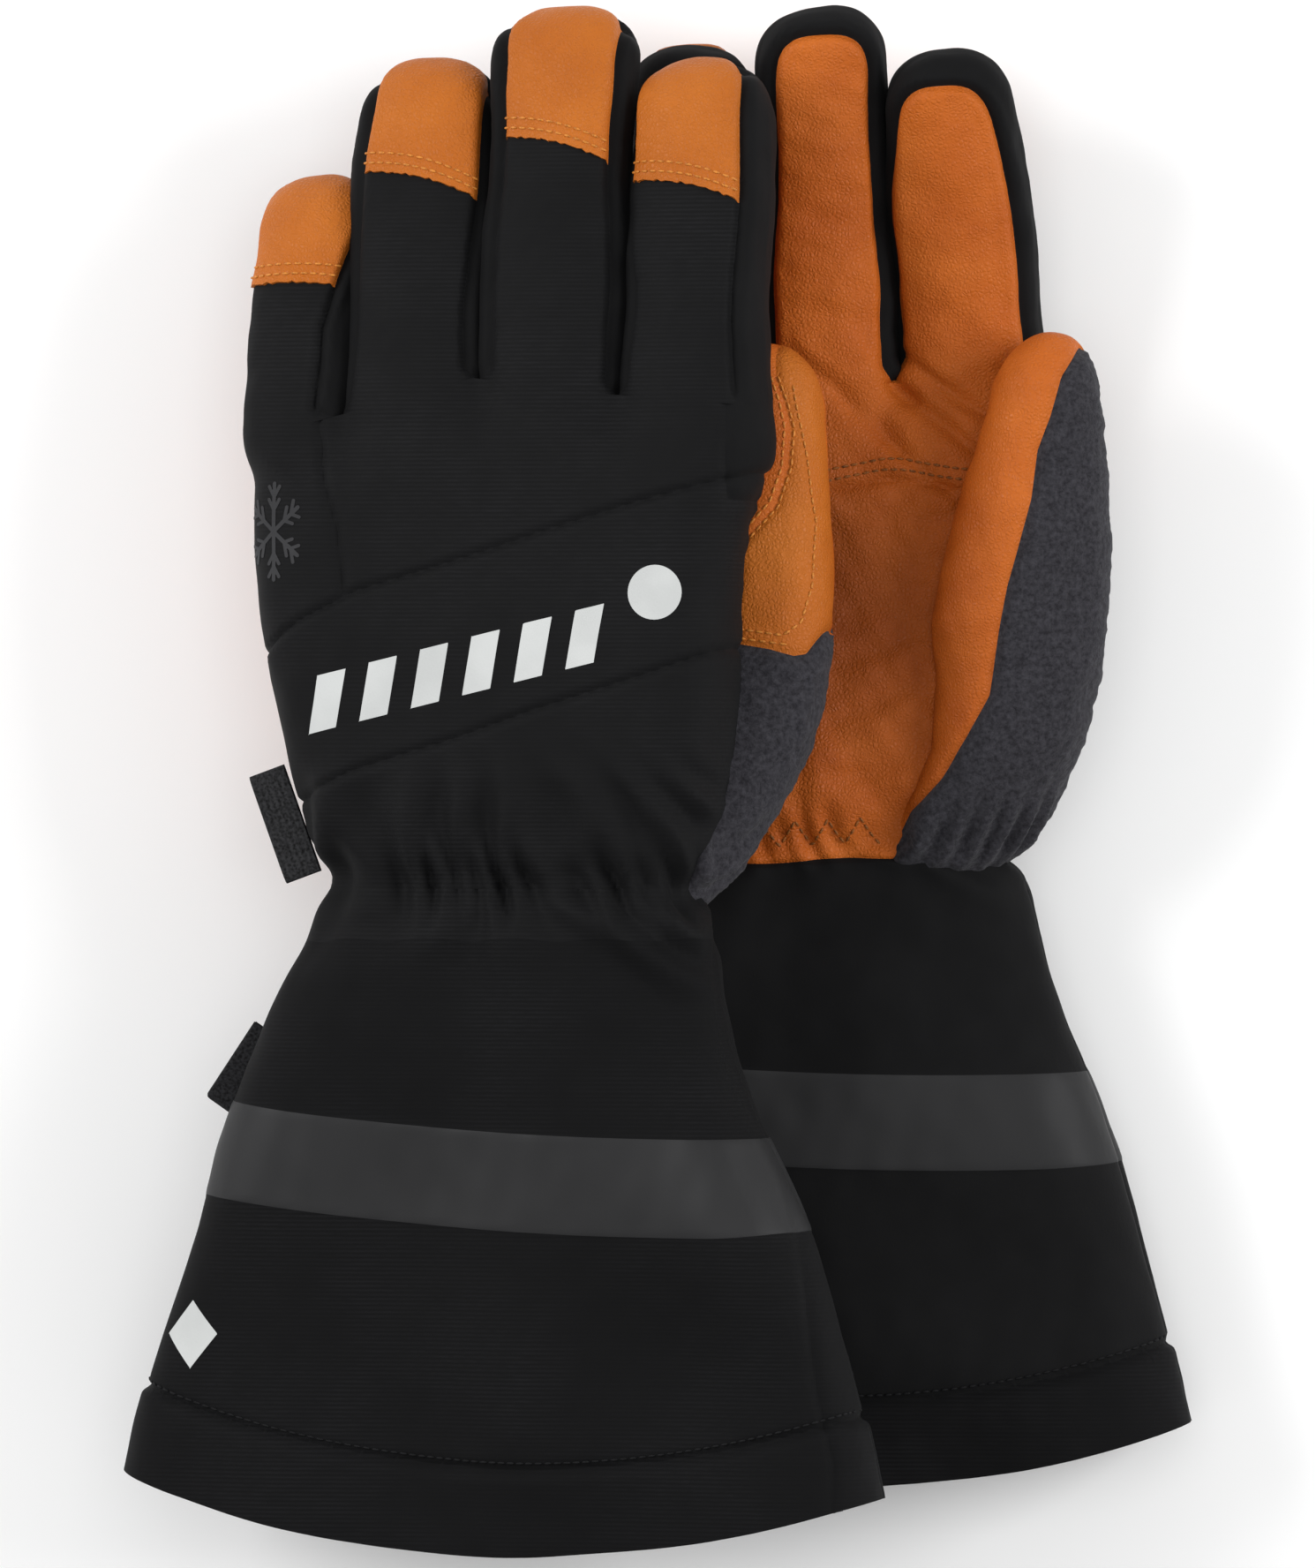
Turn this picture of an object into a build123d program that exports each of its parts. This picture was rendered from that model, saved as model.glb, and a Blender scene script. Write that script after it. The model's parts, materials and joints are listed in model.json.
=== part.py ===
from build123d import *
import math
import os
from dataclasses import dataclass

# A pair of insulated gauntlet gloves, laid one on the other: the right glove lies palm up on the
# bench, and the left glove lies palm down on it. Millimetres, +Z up, fingers towards +Y.
#
# Each glove is drawn once, in its own hand frame: the origin is the middle of the wrist, +X is the
# thumb side, +Y runs to the fingertips and +Z comes out of the back of the hand. That is a left
# glove. The right glove is the same pattern mirrored in the plane of the hand.

# ---- Driving dimensions of one glove ----
HAND_HALF_THICKNESS = 18.0  # shell, insulation and lining round a flat hand
SHELL = 3.2  # outer fabric or leather with its insulation
LINING = 2.1  # fleece lining inside the shell
SEAM_GAP = 0.9  # air between the shell and the lining
CUFF_SHELL = 2.4
CUFF_HALF_THICKNESS = 17.4
HEM_HALF_THICKNESS = 18.0  # the hem is folded double, so it stands proud
KNUCKLE_GAP = 7.0  # from a knuckle axis back to the edge of the hand panels
WRIST_TOP = 3.0  # where the hand panels end
CUFF_TOP = -9.0  # where the cuff panels begin
CUFF_TOP_HALF_WIDTH = 48.0
CUFF_FLARE = 0.33  # half width gained for each millimetre down the cuff
CUFF_SHOULDER = 18.0  # width of the sloping facet at each side of the cuff
CUFF_LONGEST = -170.0  # the cuff is cut from a taper of this length
ARC_LENGTH_MARGIN = 60.0

# Curved lines across the cuff: where each crosses the middle, and its radius.
HEM_SEAM = (-143.0, 213.0)
HEM_EDGE = (-165.0, 268.0)
BAND_TOP = (-62.0, 350.0)
BAND_BOTTOM = (-84.5, 350.0)
BAND_THICKNESS = 0.5
BAND_CLEARANCE = 0.05

# Outline of the hand panels, from the little finger's side of the wrist, clockwise.
HAND_OUTLINE = [
    (-44, WRIST_TOP), (-49, 16), (-54.5, 33), (-61, 67), (-63.5, 90), (-63.5, 104),
    (-37, 107), (-20, 112), (60, 112), (62, 97), (60.5, 60), (56, 40), (50, 16), (46, WRIST_TOP),
]  # fmt: skip
# The palm panel stops short of the thumb, which leaves the corner of the hand there.
PALM_OUTLINE = [
    (-44, WRIST_TOP), (-49, 16), (-54.5, 33), (-61, 67), (-63.5, 90), (-63.5, 104),
    (-37, 107), (-20, 112), (36, 112), (36, 62), (30, 50), (28, 30), (34, 12), (44, WRIST_TOP),
]  # fmt: skip
PALM_SEAM_Y = 97.0  # double-stitched seam below the fingers
SEAM_WIDTH = 0.4
BAND_UPPER_EDGE = ((-64.0, 54.0), (64.0, 99.0))  # the slanting band over the back of the hand
BAND_LOWER_EDGE = ((-64.0, 15.0), (64.0, 57.0))
LITTLE_PANEL_SEAM = ((-44.0, 112.0), (-35.0, 64.0))
SIDE_WALL_TOP_Y = 102.0
GUSSET_Y = (62.0, 109.0)
GUSSET_TOP = (62.0, 4.0)  # X and Z of the outer edge of the sloping corner by the thumb
GUSSET_FOOT = (36.0, -18.0)
LINING_Y = (8.0, 98.0)
ELASTIC_HALF_WIDTH = 40.2
ELASTIC_HALF_THICKNESS = 14.0
ELASTIC_HALF_LENGTH = 4.0
ELASTIC_THICKNESS = 1.6
LABEL_SIZE = (9.5, 28.0, 0.9)
LABEL_AT = (-54.5, 12.0)
LABEL_LEAN = 20.0
LOOP_SIZE = (8.0, 25.0, 2.6)
LOOP_AT = (-68.0, -43.0)
LOOP_LEAN = -34.0

# The thumb: a round tube from its root to its tip.
THUMB_ROOT = (50.0, 30.0, -20.0)
THUMB_YAW = -8.6
THUMB_PITCH = -3.4
THUMB_RADIUS = 13.5
THUMB_WALL = 3.0


@dataclass(frozen=True)
class Finger:
    """One finger of the pattern: its middle line, its size and where its leather cap starts."""

    name: str
    x: float
    width: float
    thickness: float
    knuckle_y: float
    length: float
    cap_start: float
    pitch: float


FINGERS = [
    Finger("index", 45.7, 31.0, 26.0, 120.0, 77.0, 48.0, 5.0),
    Finger("middle", 12.0, 33.5, 26.0, 122.0, 88.0, 60.0, 5.0),
    Finger("ring", -21.5, 29.5, 26.0, 120.0, 78.0, 50.0, 6.0),
    Finger("little", -50.6, 25.2, 24.0, 114.0, 57.0, 32.0, 7.0),
]


@dataclass(frozen=True)
class Glove:
    """How one glove of the pair lies: its place, yaw and roll, its cuff's lie, and its curled fingers."""

    side: str
    origin: tuple
    yaw: float
    roll: float
    cuff_yaw: float
    cuff_shift: float
    thumb_length: float
    curled: dict
    mirrored: bool

    def cuff_frame(self):
        """Where the cuff lies in the hand frame, which is askew and pushed up a little on one glove."""
        return Pos(0, self.cuff_shift, 0) * Rot(0, 0, self.cuff_yaw)

    def finger_frame(self, finger):
        """Where a finger's own frame lies in the hand frame: at its knuckle, bent towards the palm."""
        pitch = self.curled.get(finger.name, finger.pitch)
        return Pos(finger.x, finger.knuckle_y, 0) * Rot(-pitch, 0, 0)

    def place(self, shape):
        """Carries a shape from the hand frame to where this glove lies."""
        shown = mirror(shape, about=Plane.XY) if self.mirrored else shape
        return self.frame() * shown

    def frame(self):
        """The location of this glove's hand frame."""
        return Pos(*self.origin) * Rot(0, 0, self.yaw) * Rot(0, -self.roll, 0)


GLOVES = [
    Glove(
        side="right", origin=(76.0, 3.0, HEM_HALF_THICKNESS), yaw=3.0, roll=0.0,
        cuff_yaw=-3.0, cuff_shift=7.5, thumb_length=93.0,
        curled={"index": 12.0, "middle": 8.0}, mirrored=True,
    ),
    Glove(
        side="left", origin=(3.5, 0.0, 60.4), yaw=0.0, roll=13.0,
        cuff_yaw=0.0, cuff_shift=0.0, thumb_length=96.0,
        curled={}, mirrored=False,
    ),
]  # fmt: skip


def outline_plate(points, low, high):
    """A flat plate with the given outline, between two heights."""
    return extrude(Pos(0, 0, low) * make_face(Polyline(*points, close=True)), high - low)


def box_between(low, high):
    """A box from its lowest corner to its highest."""
    size = [b - a for a, b in zip(low, high)]
    middle = [(a + b) / 2 for a, b in zip(low, high)]
    return Pos(*middle) * Box(*size)


# ---- Fingers ----


def finger_face(width, length, start=0.0):
    """The flat outline of a finger with a round tip, from start to its full length."""
    half = width / 2
    side = length - half
    edge = Polyline((-half, side), (-half, start), (half, start), (half, side))
    tip = ThreePointArc((half, side), (0, length), (-half, side))
    return make_face(edge + tip)


def finger_parts(finger):
    """The four shell pieces of a finger, in its own frame with the knuckle axis along X at the origin."""
    inner = finger.thickness / 2 - SHELL
    half = finger.width / 2
    outline = finger_face(finger.width, finger.length)
    front = extrude(Pos(0, 0, -finger.thickness / 2) * outline, SHELL)
    back_outline = Rectangle(finger.width, finger.cap_start, align=(Align.CENTER, Align.MIN))
    back = extrude(Pos(0, 0, inner) * back_outline, SHELL)
    cap_outline = finger_face(finger.width, finger.length, finger.cap_start)
    cap = extrude(Pos(0, 0, inner) * cap_outline, SHELL)
    hollow = finger_face(finger.width - 2 * SHELL, finger.length - SHELL)
    wall = extrude(Pos(0, 0, -inner) * (outline - hollow), 2 * inner)
    for side in (-1, 1):
        wall += Pos(side * (half - SHELL / 2), 0, 0) * Rot(0, 90, 0) * Cylinder(inner, SHELL)
    return {"front_leather": front, "back_fabric": back, "cap_leather": cap, "sidewall": wall}


# ---- Thumb ----


def thumb_frame():
    """Where the thumb's own frame lies in the hand frame: at its root, along the thumb."""
    return Pos(*THUMB_ROOT) * Rot(0, 0, THUMB_YAW) * Rot(THUMB_PITCH, 0, 0)


def thumb_core(length, radius):
    """A round bar with a domed end, along +Y from the origin."""
    straight = length - THUMB_RADIUS
    bar = Pos(0, straight / 2, 0) * Rot(90, 0, 0) * Cylinder(radius, straight)
    return bar + Pos(0, straight, 0) * Sphere(radius)


def thumb_parts(length):
    """The thumb's leather front and fleece back, as two halves of a tube open at the root."""
    shell = thumb_core(length, THUMB_RADIUS) - thumb_core(length, THUMB_RADIUS - THUMB_WALL)
    reach = length + THUMB_RADIUS
    lower = box_between((-reach, 0, -reach), (reach, reach, 0))
    upper = box_between((-reach, 0, 0), (reach, reach, reach))
    return {"thumb_front_leather": shell & lower, "thumb_back_fleece": shell & upper}


# ---- Hand ----


def region_between(lower_edge, upper_edge):
    """A slanting strip of the plane between two lines, each given by its two ends."""
    return make_face(Polyline(lower_edge[0], lower_edge[1], upper_edge[1], upper_edge[0], close=True))


def shifted(edge, distance):
    """A line moved along Y."""
    return tuple((x, y + distance) for x, y in edge)


def side_wall(points, thickness, low, high):
    """A standing strip along an outline, with its thickness to the inside."""
    outer = list(points)
    inner = [(x - thickness, y) for x, y in reversed(points)]
    return outline_plate(outer + inner, low, high)


def hand_parts(with_label):
    """The panels of the hand, its lining and its wrist elastic, in the hand frame."""
    top, inner = HAND_HALF_THICKNESS, HAND_HALF_THICKNESS - SHELL
    outline = make_face(Polyline(*HAND_OUTLINE, close=True))

    palm = outline_plate(PALM_OUTLINE, -top, -inner)
    seam = box_between((-80, PALM_SEAM_Y, -top), (80, PALM_SEAM_Y + SEAM_WIDTH, -inner))
    palm_pieces = palm - seam

    far_edge = ((-90.0, 130.0), (90.0, 130.0))
    near_edge = ((-90.0, -10.0), (90.0, -10.0))
    above = outline & region_between(shifted(BAND_UPPER_EDGE, SEAM_WIDTH), far_edge)
    seam_start, seam_end = LITTLE_PANEL_SEAM
    little_seam = make_face(
        Polyline(
            seam_start, seam_end, (seam_end[0] + SEAM_WIDTH, seam_end[1]),
            (seam_start[0] + SEAM_WIDTH, seam_start[1]), close=True,
        )
    )  # fmt: skip
    middle = outline & region_between(BAND_LOWER_EDGE, BAND_UPPER_EDGE)
    below = outline & region_between(near_edge, shifted(BAND_LOWER_EDGE, -SEAM_WIDTH))
    back = extrude(Pos(0, 0, inner) * (above - little_seam), SHELL)
    band = extrude(Pos(0, 0, inner) * middle, SHELL)
    lower = extrude(Pos(0, 0, inner) * below, SHELL)
    left_edge = [p for p in HAND_OUTLINE[:5]] + [(-63.5, SIDE_WALL_TOP_Y)]
    ulnar_wall = side_wall([(x + SHELL, y) for x, y in left_edge], SHELL, -inner, inner)

    foot_x, foot_z = GUSSET_FOOT
    top_x, top_z = GUSSET_TOP
    corner = Polyline(
        (foot_x, foot_z), (top_x, top_z), (top_x, inner), (top_x - SHELL, inner),
        (top_x - SHELL, top_z + 1.5), (foot_x, foot_z + 4.4), close=True,
    )  # fmt: skip
    gusset_section = Plane.XZ.offset(-GUSSET_Y[1]) * make_face(corner)
    gusset = extrude(gusset_section, GUSSET_Y[1] - GUSSET_Y[0])
    over_thumb = side_wall([(50, 16), (56, 40), (60, GUSSET_Y[0] - 1)], SHELL, 2.0, inner)
    by_wrist = side_wall([(45.5, WRIST_TOP), (49, 14)], SHELL, -inner, inner)

    clear = SHELL + SEAM_GAP
    lining_outer = extrude(Pos(0, 0, -inner + SEAM_GAP) * offset(outline, -clear), 2 * (inner - SEAM_GAP))
    cavity = inner - SEAM_GAP - LINING
    lining_hollow = extrude(Pos(0, 0, -cavity) * offset(outline, -clear - LINING), 2 * cavity)
    lining = lining_outer - lining_hollow
    lining &= box_between((-90, LINING_Y[0], -inner), (90, LINING_Y[1], inner))
    lining -= box_between((26, 0, -inner), (90, 130, 6))

    elastic = flat_ring(
        ELASTIC_HALF_WIDTH, ELASTIC_HALF_THICKNESS, ELASTIC_THICKNESS, ELASTIC_HALF_LENGTH
    )
    parts = {
        "palm_leather": palm_pieces,
        "back_panel": Compound([*back.solids(), *ulnar_wall.solids()]),
        "knuckle_band": band,
        "lower_back_panel": lower,
        "fleece_gusset": Compound(
            [*gusset.solids(), *over_thumb.solids(), *by_wrist.solids()]
        ),
        "lining": lining,
        "wrist_elastic": elastic,
    }
    if with_label:
        parts["label_tab"] = Pos(LABEL_AT[0], LABEL_AT[1], 0) * Rot(0, 0, LABEL_LEAN) * Box(*LABEL_SIZE)
    return parts


# ---- Cuff ----


def cuff_polygon(half_width, half_thickness, shoulder):
    """The flattened six-sided section of the cuff, in the XZ plane."""
    flat = half_width - shoulder
    return make_face(
        Polyline(
            (-half_width, 0), (-flat, half_thickness), (flat, half_thickness),
            (half_width, 0), (flat, -half_thickness), (-flat, -half_thickness), close=True,
        )
    )  # fmt: skip


def flat_ring(half_width, half_thickness, thickness, half_length):
    """A short flattened ring round the Y axis."""
    shoulder = CUFF_SHOULDER
    outer = cuff_polygon(half_width, half_thickness, shoulder)
    inner = cuff_polygon(half_width - 1.5 * thickness, half_thickness - thickness, shoulder)
    return extrude(Plane.XZ.offset(-half_length) * (outer - inner), 2 * half_length)


def cuff_half_width(y):
    """The cuff's half width at a distance down from the wrist."""
    return CUFF_TOP_HALF_WIDTH + (CUFF_TOP - y) * CUFF_FLARE


def taper(grow, half_thickness):
    """The solid taper of the cuff, grown outwards by an amount."""
    ends = []
    for y in (CUFF_TOP, CUFF_LONGEST):
        face = cuff_polygon(cuff_half_width(y) + 1.4 * grow, half_thickness + grow, CUFF_SHOULDER)
        ends.append(Plane.XZ.offset(-y) * face)
    return loft(ends, ruled=True)


def above_arc(line):
    """Everything on the wrist's side of a curved line across the cuff."""
    middle_y, radius = line
    reach = 4 * HEM_HALF_THICKNESS
    return Pos(0, middle_y + radius, 0) * Cylinder(radius, reach)


def cuff_parts(with_loop):
    """The panels of the cuff, its reflective band and its hem, in the hand frame."""
    shell = taper(0, CUFF_HALF_THICKNESS) - taper(-CUFF_SHELL, CUFF_HALF_THICKNESS)
    body = shell & above_arc(HEM_SEAM)
    reach = 2 * HEM_HALF_THICKNESS
    back_side = box_between((-150, CUFF_LONGEST, 0), (150, 0, reach))
    palm_side = box_between((-150, CUFF_LONGEST, -reach), (150, 0, 0))
    band_inner = taper(BAND_CLEARANCE, CUFF_HALF_THICKNESS)
    band_outer = taper(BAND_CLEARANCE + BAND_THICKNESS, CUFF_HALF_THICKNESS)
    band = ((band_outer - band_inner) - above_arc(BAND_TOP)) & above_arc(BAND_BOTTOM)
    hem_proud = HEM_HALF_THICKNESS - CUFF_HALF_THICKNESS
    hem_ring = taper(hem_proud, CUFF_HALF_THICKNESS) - taper(-CUFF_SHELL, CUFF_HALF_THICKNESS)
    hem = (hem_ring - above_arc(HEM_SEAM)) & above_arc(HEM_EDGE)
    parts = {
        "cuff_back": body & back_side,
        "cuff_palm": body & palm_side,
        "reflective_band": band,
        "cuff_hem": hem,
    }
    if with_loop:
        parts["hang_loop"] = Pos(LOOP_AT[0], LOOP_AT[1], 0) * Rot(0, 0, LOOP_LEAN) * Box(*LOOP_SIZE)
    return parts


def glove_parts(glove):
    """Every node of one glove, where it lies."""
    labelled = glove.side == "left"
    parts = dict(hand_parts(labelled))
    for finger in FINGERS:
        for name, shape in finger_parts(finger).items():
            parts[f"{finger.name}_{name}"] = glove.finger_frame(finger) * shape
    for name, shape in thumb_parts(glove.thumb_length).items():
        parts[name] = thumb_frame() * shape
    for name, shape in cuff_parts(labelled).items():
        parts[name] = glove.cuff_frame() * shape
    return {f"{glove.side}_{name}": glove.place(shape) for name, shape in parts.items()}


def build_pair():
    """Both gloves' nodes, moved so that the origin is under the middle of the pair."""
    nodes = {}
    for glove in GLOVES:
        nodes.update(glove_parts(glove))
    boxes = [shape.bounding_box() for shape in nodes.values()]
    low = [min(tuple(box.min)[axis] for box in boxes) for axis in range(3)]
    high = [max(tuple(box.max)[axis] for box in boxes) for axis in range(3)]
    shift = Pos(-(low[0] + high[0]) / 2, -(low[1] + high[1]) / 2, -low[2])
    return {name: shift * shape for name, shape in nodes.items()}, shift


def main():
    """Writes one STEP file for each node."""
    os.makedirs("parts", exist_ok=True)
    nodes, _ = build_pair()
    for name, shape in nodes.items():
        export_step(shape, f"parts/{name}.step")


if __name__ == "__main__":
    main()
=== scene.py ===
"""The looks of a pair of insulated gauntlet gloves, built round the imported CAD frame.

Both gloves are made from one pattern, in millimetres in the hand's own frame: X to the thumb side, Y to the
fingertips, Z out of the back of the hand. A rounded solid field gives the stuffed shape, surface nets turn it
into a skin, and seam lines cut the skin into the sewn panels, which are then given their wall.
"""
import json
import logging
import math
from dataclasses import dataclass, field
from enum import Enum
from typing import Callable

import bpy
import numpy as np
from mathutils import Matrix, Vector
from mathutils.bvhtree import BVHTree


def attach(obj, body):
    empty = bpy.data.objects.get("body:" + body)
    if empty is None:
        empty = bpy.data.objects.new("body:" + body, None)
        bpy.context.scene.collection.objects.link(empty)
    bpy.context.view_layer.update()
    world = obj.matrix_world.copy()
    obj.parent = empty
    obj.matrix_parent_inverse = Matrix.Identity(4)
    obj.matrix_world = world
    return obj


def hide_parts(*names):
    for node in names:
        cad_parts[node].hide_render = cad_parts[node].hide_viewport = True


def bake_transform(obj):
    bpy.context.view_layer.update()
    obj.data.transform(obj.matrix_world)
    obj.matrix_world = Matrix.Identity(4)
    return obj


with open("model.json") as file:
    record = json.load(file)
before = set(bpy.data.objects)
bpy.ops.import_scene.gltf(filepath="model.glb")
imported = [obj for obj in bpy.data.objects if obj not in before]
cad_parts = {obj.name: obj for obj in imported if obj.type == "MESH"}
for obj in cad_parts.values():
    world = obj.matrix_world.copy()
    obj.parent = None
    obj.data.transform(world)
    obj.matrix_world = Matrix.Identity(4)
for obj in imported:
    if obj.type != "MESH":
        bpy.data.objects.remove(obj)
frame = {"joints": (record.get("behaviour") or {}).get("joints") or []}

log = logging.getLogger("gloves")
MM = 0.001
BODY_CELL = 1.25  # millimetres between samples of the hand and the cuff
DIGIT_CELL = 1.0  # and of a finger or a thumb
LINING_CELL = 2.6
PROBE = 0.2  # the step that a field's slope is measured over
THREAD_OVER = 0.12  # how far a stitch's middle stands over the cloth
PRINT_OVER = 0.14  # how far the ink stands over the cloth
PRINT_WALL = 0.12
BODY_WALL = 1.3
FINGER_WALL = 1.2
TAPE_WALL = 0.5
CAP_LIFT = 0.9  # how far a fingertip cap stands over the finger
LINING_INSET = 5.6  # the wadding between the shell and the lining
DIGIT_FILLET = 5.0  # between a finger and the hand
BODY_LOW = (-108, -174, -21)  # the space that the hand and cuff are looked for in
BODY_HIGH = (108, 134, 21)
Array = np.ndarray
Tree = bpy.types.NodeTree
Node = bpy.types.Node
Socket = bpy.types.NodeSocket


class Side(Enum):
    """Which hand a glove is for."""

    LEFT = "left"
    RIGHT = "right"


class Face(Enum):
    """Which face of a glove something is on. The value is the sign of Z there."""

    BACK = 1.0
    PALM = -1.0


# ---------------------------------------------------------------- colours and finishes


def linear(code: str) -> tuple[float, float, float, float]:
    """Turns an sRGB hex colour to linear.

    Args:
        code: The colour, such as "#c57130".

    Returns:
        Red, green, blue and an alpha of one.
    """
    raw = [int(code[i : i + 2], 16) / 255 for i in (1, 3, 5)]
    out = [c / 12.92 if c <= 0.04045 else ((c + 0.055) / 1.055) ** 2.4 for c in raw]
    return (out[0], out[1], out[2], 1.0)


def add_node(tree: Tree, kind: str, links: dict | None = None, **settings: object) -> Node:
    """Adds one node with its settings and links.

    Args:
        tree: The node tree.
        kind: The node's type name.
        links: Input name or index to the socket that feeds it, or to a plain value.
        settings: The node's own attributes.

    Returns:
        The node.
    """
    node = tree.nodes.new(kind)
    for name, value in settings.items():
        setattr(node, name, value)
    for name, value in (links or {}).items():
        socket = node.inputs[name]
        if isinstance(value, bpy.types.NodeSocket):
            tree.links.new(value, socket)
        else:
            socket.default_value = value
    return node


def add_noise(tree: Tree, place: Socket, size_mm: float, detail: float = 2.0, **links: float) -> Node:
    """Adds a noise whose patches are size_mm across."""
    return add_node(
        tree, "ShaderNodeTexNoise", {"Vector": place, "Scale": 1 / (size_mm * MM), "Detail": detail, **links},
    )


def mix(tree: Tree, factor: Socket | float, a: Socket | tuple, b: Socket | tuple) -> Socket:
    """Adds a mix of two colours and gives its colour."""
    return add_node(tree, "ShaderNodeMix", {"Factor": factor, 6: a, 7: b}, data_type="RGBA").outputs[2]


def add_bump(tree: Tree, shader: Node, height: Socket, strength: float, distance_mm: float) -> None:
    """Bumps a shader's surface by a height."""
    links = {"Height": height, "Strength": strength, "Distance": distance_mm * MM}
    tree.links.new(add_node(tree, "ShaderNodeBump", links).outputs[0], shader.inputs["Normal"])


@dataclass(frozen=True)
class Finish:
    """A finish: the colours and scales that its node tree is made from. Scales are in millimetres."""

    name: str
    colour: str
    dark: str
    roughness: float
    specular: float = 0.5
    sheen: float = 0.0

    def material(self) -> bpy.types.Material:
        """Makes the material, or finds it if it has been made."""
        found = bpy.data.materials.get(self.name)
        if found:
            return found
        mat = bpy.data.materials.new(self.name)
        mat.use_nodes = True
        tree = mat.node_tree
        tree.nodes.clear()
        shader = add_node(tree, "ShaderNodeBsdfPrincipled", {
            "Roughness": self.roughness, "Specular IOR Level": self.specular,
            "Sheen Weight": self.sheen, "Sheen Roughness": 0.5,
        })
        add_node(tree, "ShaderNodeOutputMaterial", {"Surface": shader.outputs[0]})
        place = add_node(tree, "ShaderNodeTexCoord").outputs["Object"]
        mat.diffuse_color = linear(self.colour)
        self.dress(tree, shader, place)
        return mat

    def dress(self, tree: Tree, shader: Node, place: Socket) -> None:
        """Feeds the shader. Each finish draws its own surface here."""
        shader.inputs["Base Color"].default_value = linear(self.colour)

    def between(self, tree: Tree, value: Socket, low: float, high: float) -> Socket:
        """A colour that goes from the dark one, where a value is low, to the main one, where it is high."""
        ramp = add_node(tree, "ShaderNodeValToRGB", {"Fac": value})
        for end, at, code in zip(ramp.color_ramp.elements, (low, high), (self.dark, self.colour)):
            end.position = at
            end.color = linear(code)
        return ramp.outputs["Color"]

    def mottle(self, tree: Tree, place: Socket, size_mm: float, low: float = 0.35,
               high: float = 0.65) -> Socket:
        """A soft change between the dark and the main colour, in patches of size_mm."""
        return self.between(tree, add_noise(tree, place, size_mm, 3.0).outputs["Fac"], low, high)


@dataclass(frozen=True)
class Goatskin(Finish):
    """Aniline-dyed goatskin: a fine pebbled grain with a dull shine on the tops of the pebbles."""

    grain_mm: float = 1.0
    deep: str = "#561f0b"  # painted shade in the cup of the palm, where the thumbs shade the leather

    def dress(self, tree: Tree, shader: Node, place: Socket) -> None:
        """Draws the pebbles, the pores between them, the dye's uneven depth and painted shade in the cup of the
        palm.
        """
        warp = add_noise(tree, place, 3.0)
        shift = add_node(
            tree, "ShaderNodeVectorMath", {0: warp.outputs["Color"], "Scale": 0.6 * MM}, operation="SCALE",
        )
        moved = add_node(tree, "ShaderNodeVectorMath", {0: place, 1: shift.outputs[0]}, operation="ADD")
        pebble = add_node(
            tree, "ShaderNodeTexVoronoi", {"Vector": moved.outputs[0], "Scale": 1 / (self.grain_mm * MM)},
            feature="DISTANCE_TO_EDGE",
        )
        crest = add_node(tree, "ShaderNodeMapRange", {
            "Value": pebble.outputs["Distance"], "From Min": 0.0, "From Max": 0.35,
            "To Min": 0.0, "To Max": 1.0,
        })
        base = self.mottle(tree, place, 26.0, 0.3, 0.7)
        pores = mix(tree, 0.16, base, linear(self.dark))
        tint = mix(tree, crest.outputs[0], pores, base)
        # painted shade: the leather is mixed towards the deep colour where the point attribute marks the palm's
        # cup
        hollow = add_node(tree, "ShaderNodeAttribute", attribute_name="hollow").outputs["Fac"]
        tree.links.new(mix(tree, hollow, tint, linear(self.deep)), shader.inputs["Base Color"])
        rough = add_node(tree, "ShaderNodeMapRange", {
            "Value": crest.outputs[0], "To Min": min(1.0, self.roughness + 0.18),
            "To Max": self.roughness - 0.05,
        })
        tree.links.new(rough.outputs[0], shader.inputs["Roughness"])
        folds = add_noise(tree, place, 4.0, 5.0, Roughness=0.62, Distortion=0.6)
        height = add_node(
            tree, "ShaderNodeMath", {0: folds.outputs["Fac"], 1: 2.2, 2: crest.outputs[0]},
            operation="MULTIPLY_ADD",
        )
        add_bump(tree, shader, height.outputs[0], 0.85, 0.17)


@dataclass(frozen=True)
class RibbedWeave(Finish):
    """Coated polyester woven with a fine crosswise rib: near black, with faint lines and hardly any shine."""

    rib_mm: float = 1.05  # twice the real rib, so that it shows

    def dress(self, tree: Tree, shader: Node, place: Socket) -> None:
        """Draws the ribs, broken up by the warp threads, and a faint patchiness."""
        ribs = add_node(tree, "ShaderNodeTexWave", {
            "Vector": place, "Scale": 0.314 / (self.rib_mm * MM), "Distortion": 0.6, "Detail": 1.0,
            "Detail Scale": 1.5,
        }, bands_direction="Y")
        slub = add_node(tree, "ShaderNodeMapping", {"Vector": place, "Scale": (0.12, 1.0, 1.0)})
        threads = add_noise(tree, slub.outputs[0], 0.9)
        both = add_node(
            tree, "ShaderNodeMath", {0: ribs.outputs["Fac"], 1: threads.outputs["Fac"]}, operation="MULTIPLY",
        ).outputs[0]
        base = self.mottle(tree, place, 30.0, 0.3, 0.7)
        tree.links.new(mix(tree, both, linear(self.dark), base), shader.inputs["Base Color"])
        add_bump(tree, shader, both, 0.35, 0.08)


@dataclass(frozen=True)
class SmoothCloth(Finish):
    """Stretch softshell: a tight plain face that looks smooth and matte."""

    thread_mm: float = 0.6

    def dress(self, tree: Tree, shader: Node, place: Socket) -> None:
        """Draws a fine even weave as a bump, with a slight change of depth."""
        tree.links.new(self.mottle(tree, place, 18.0), shader.inputs["Base Color"])
        add_bump(tree, shader, add_noise(tree, place, self.thread_mm).outputs["Fac"], 0.35, 0.1)


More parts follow.
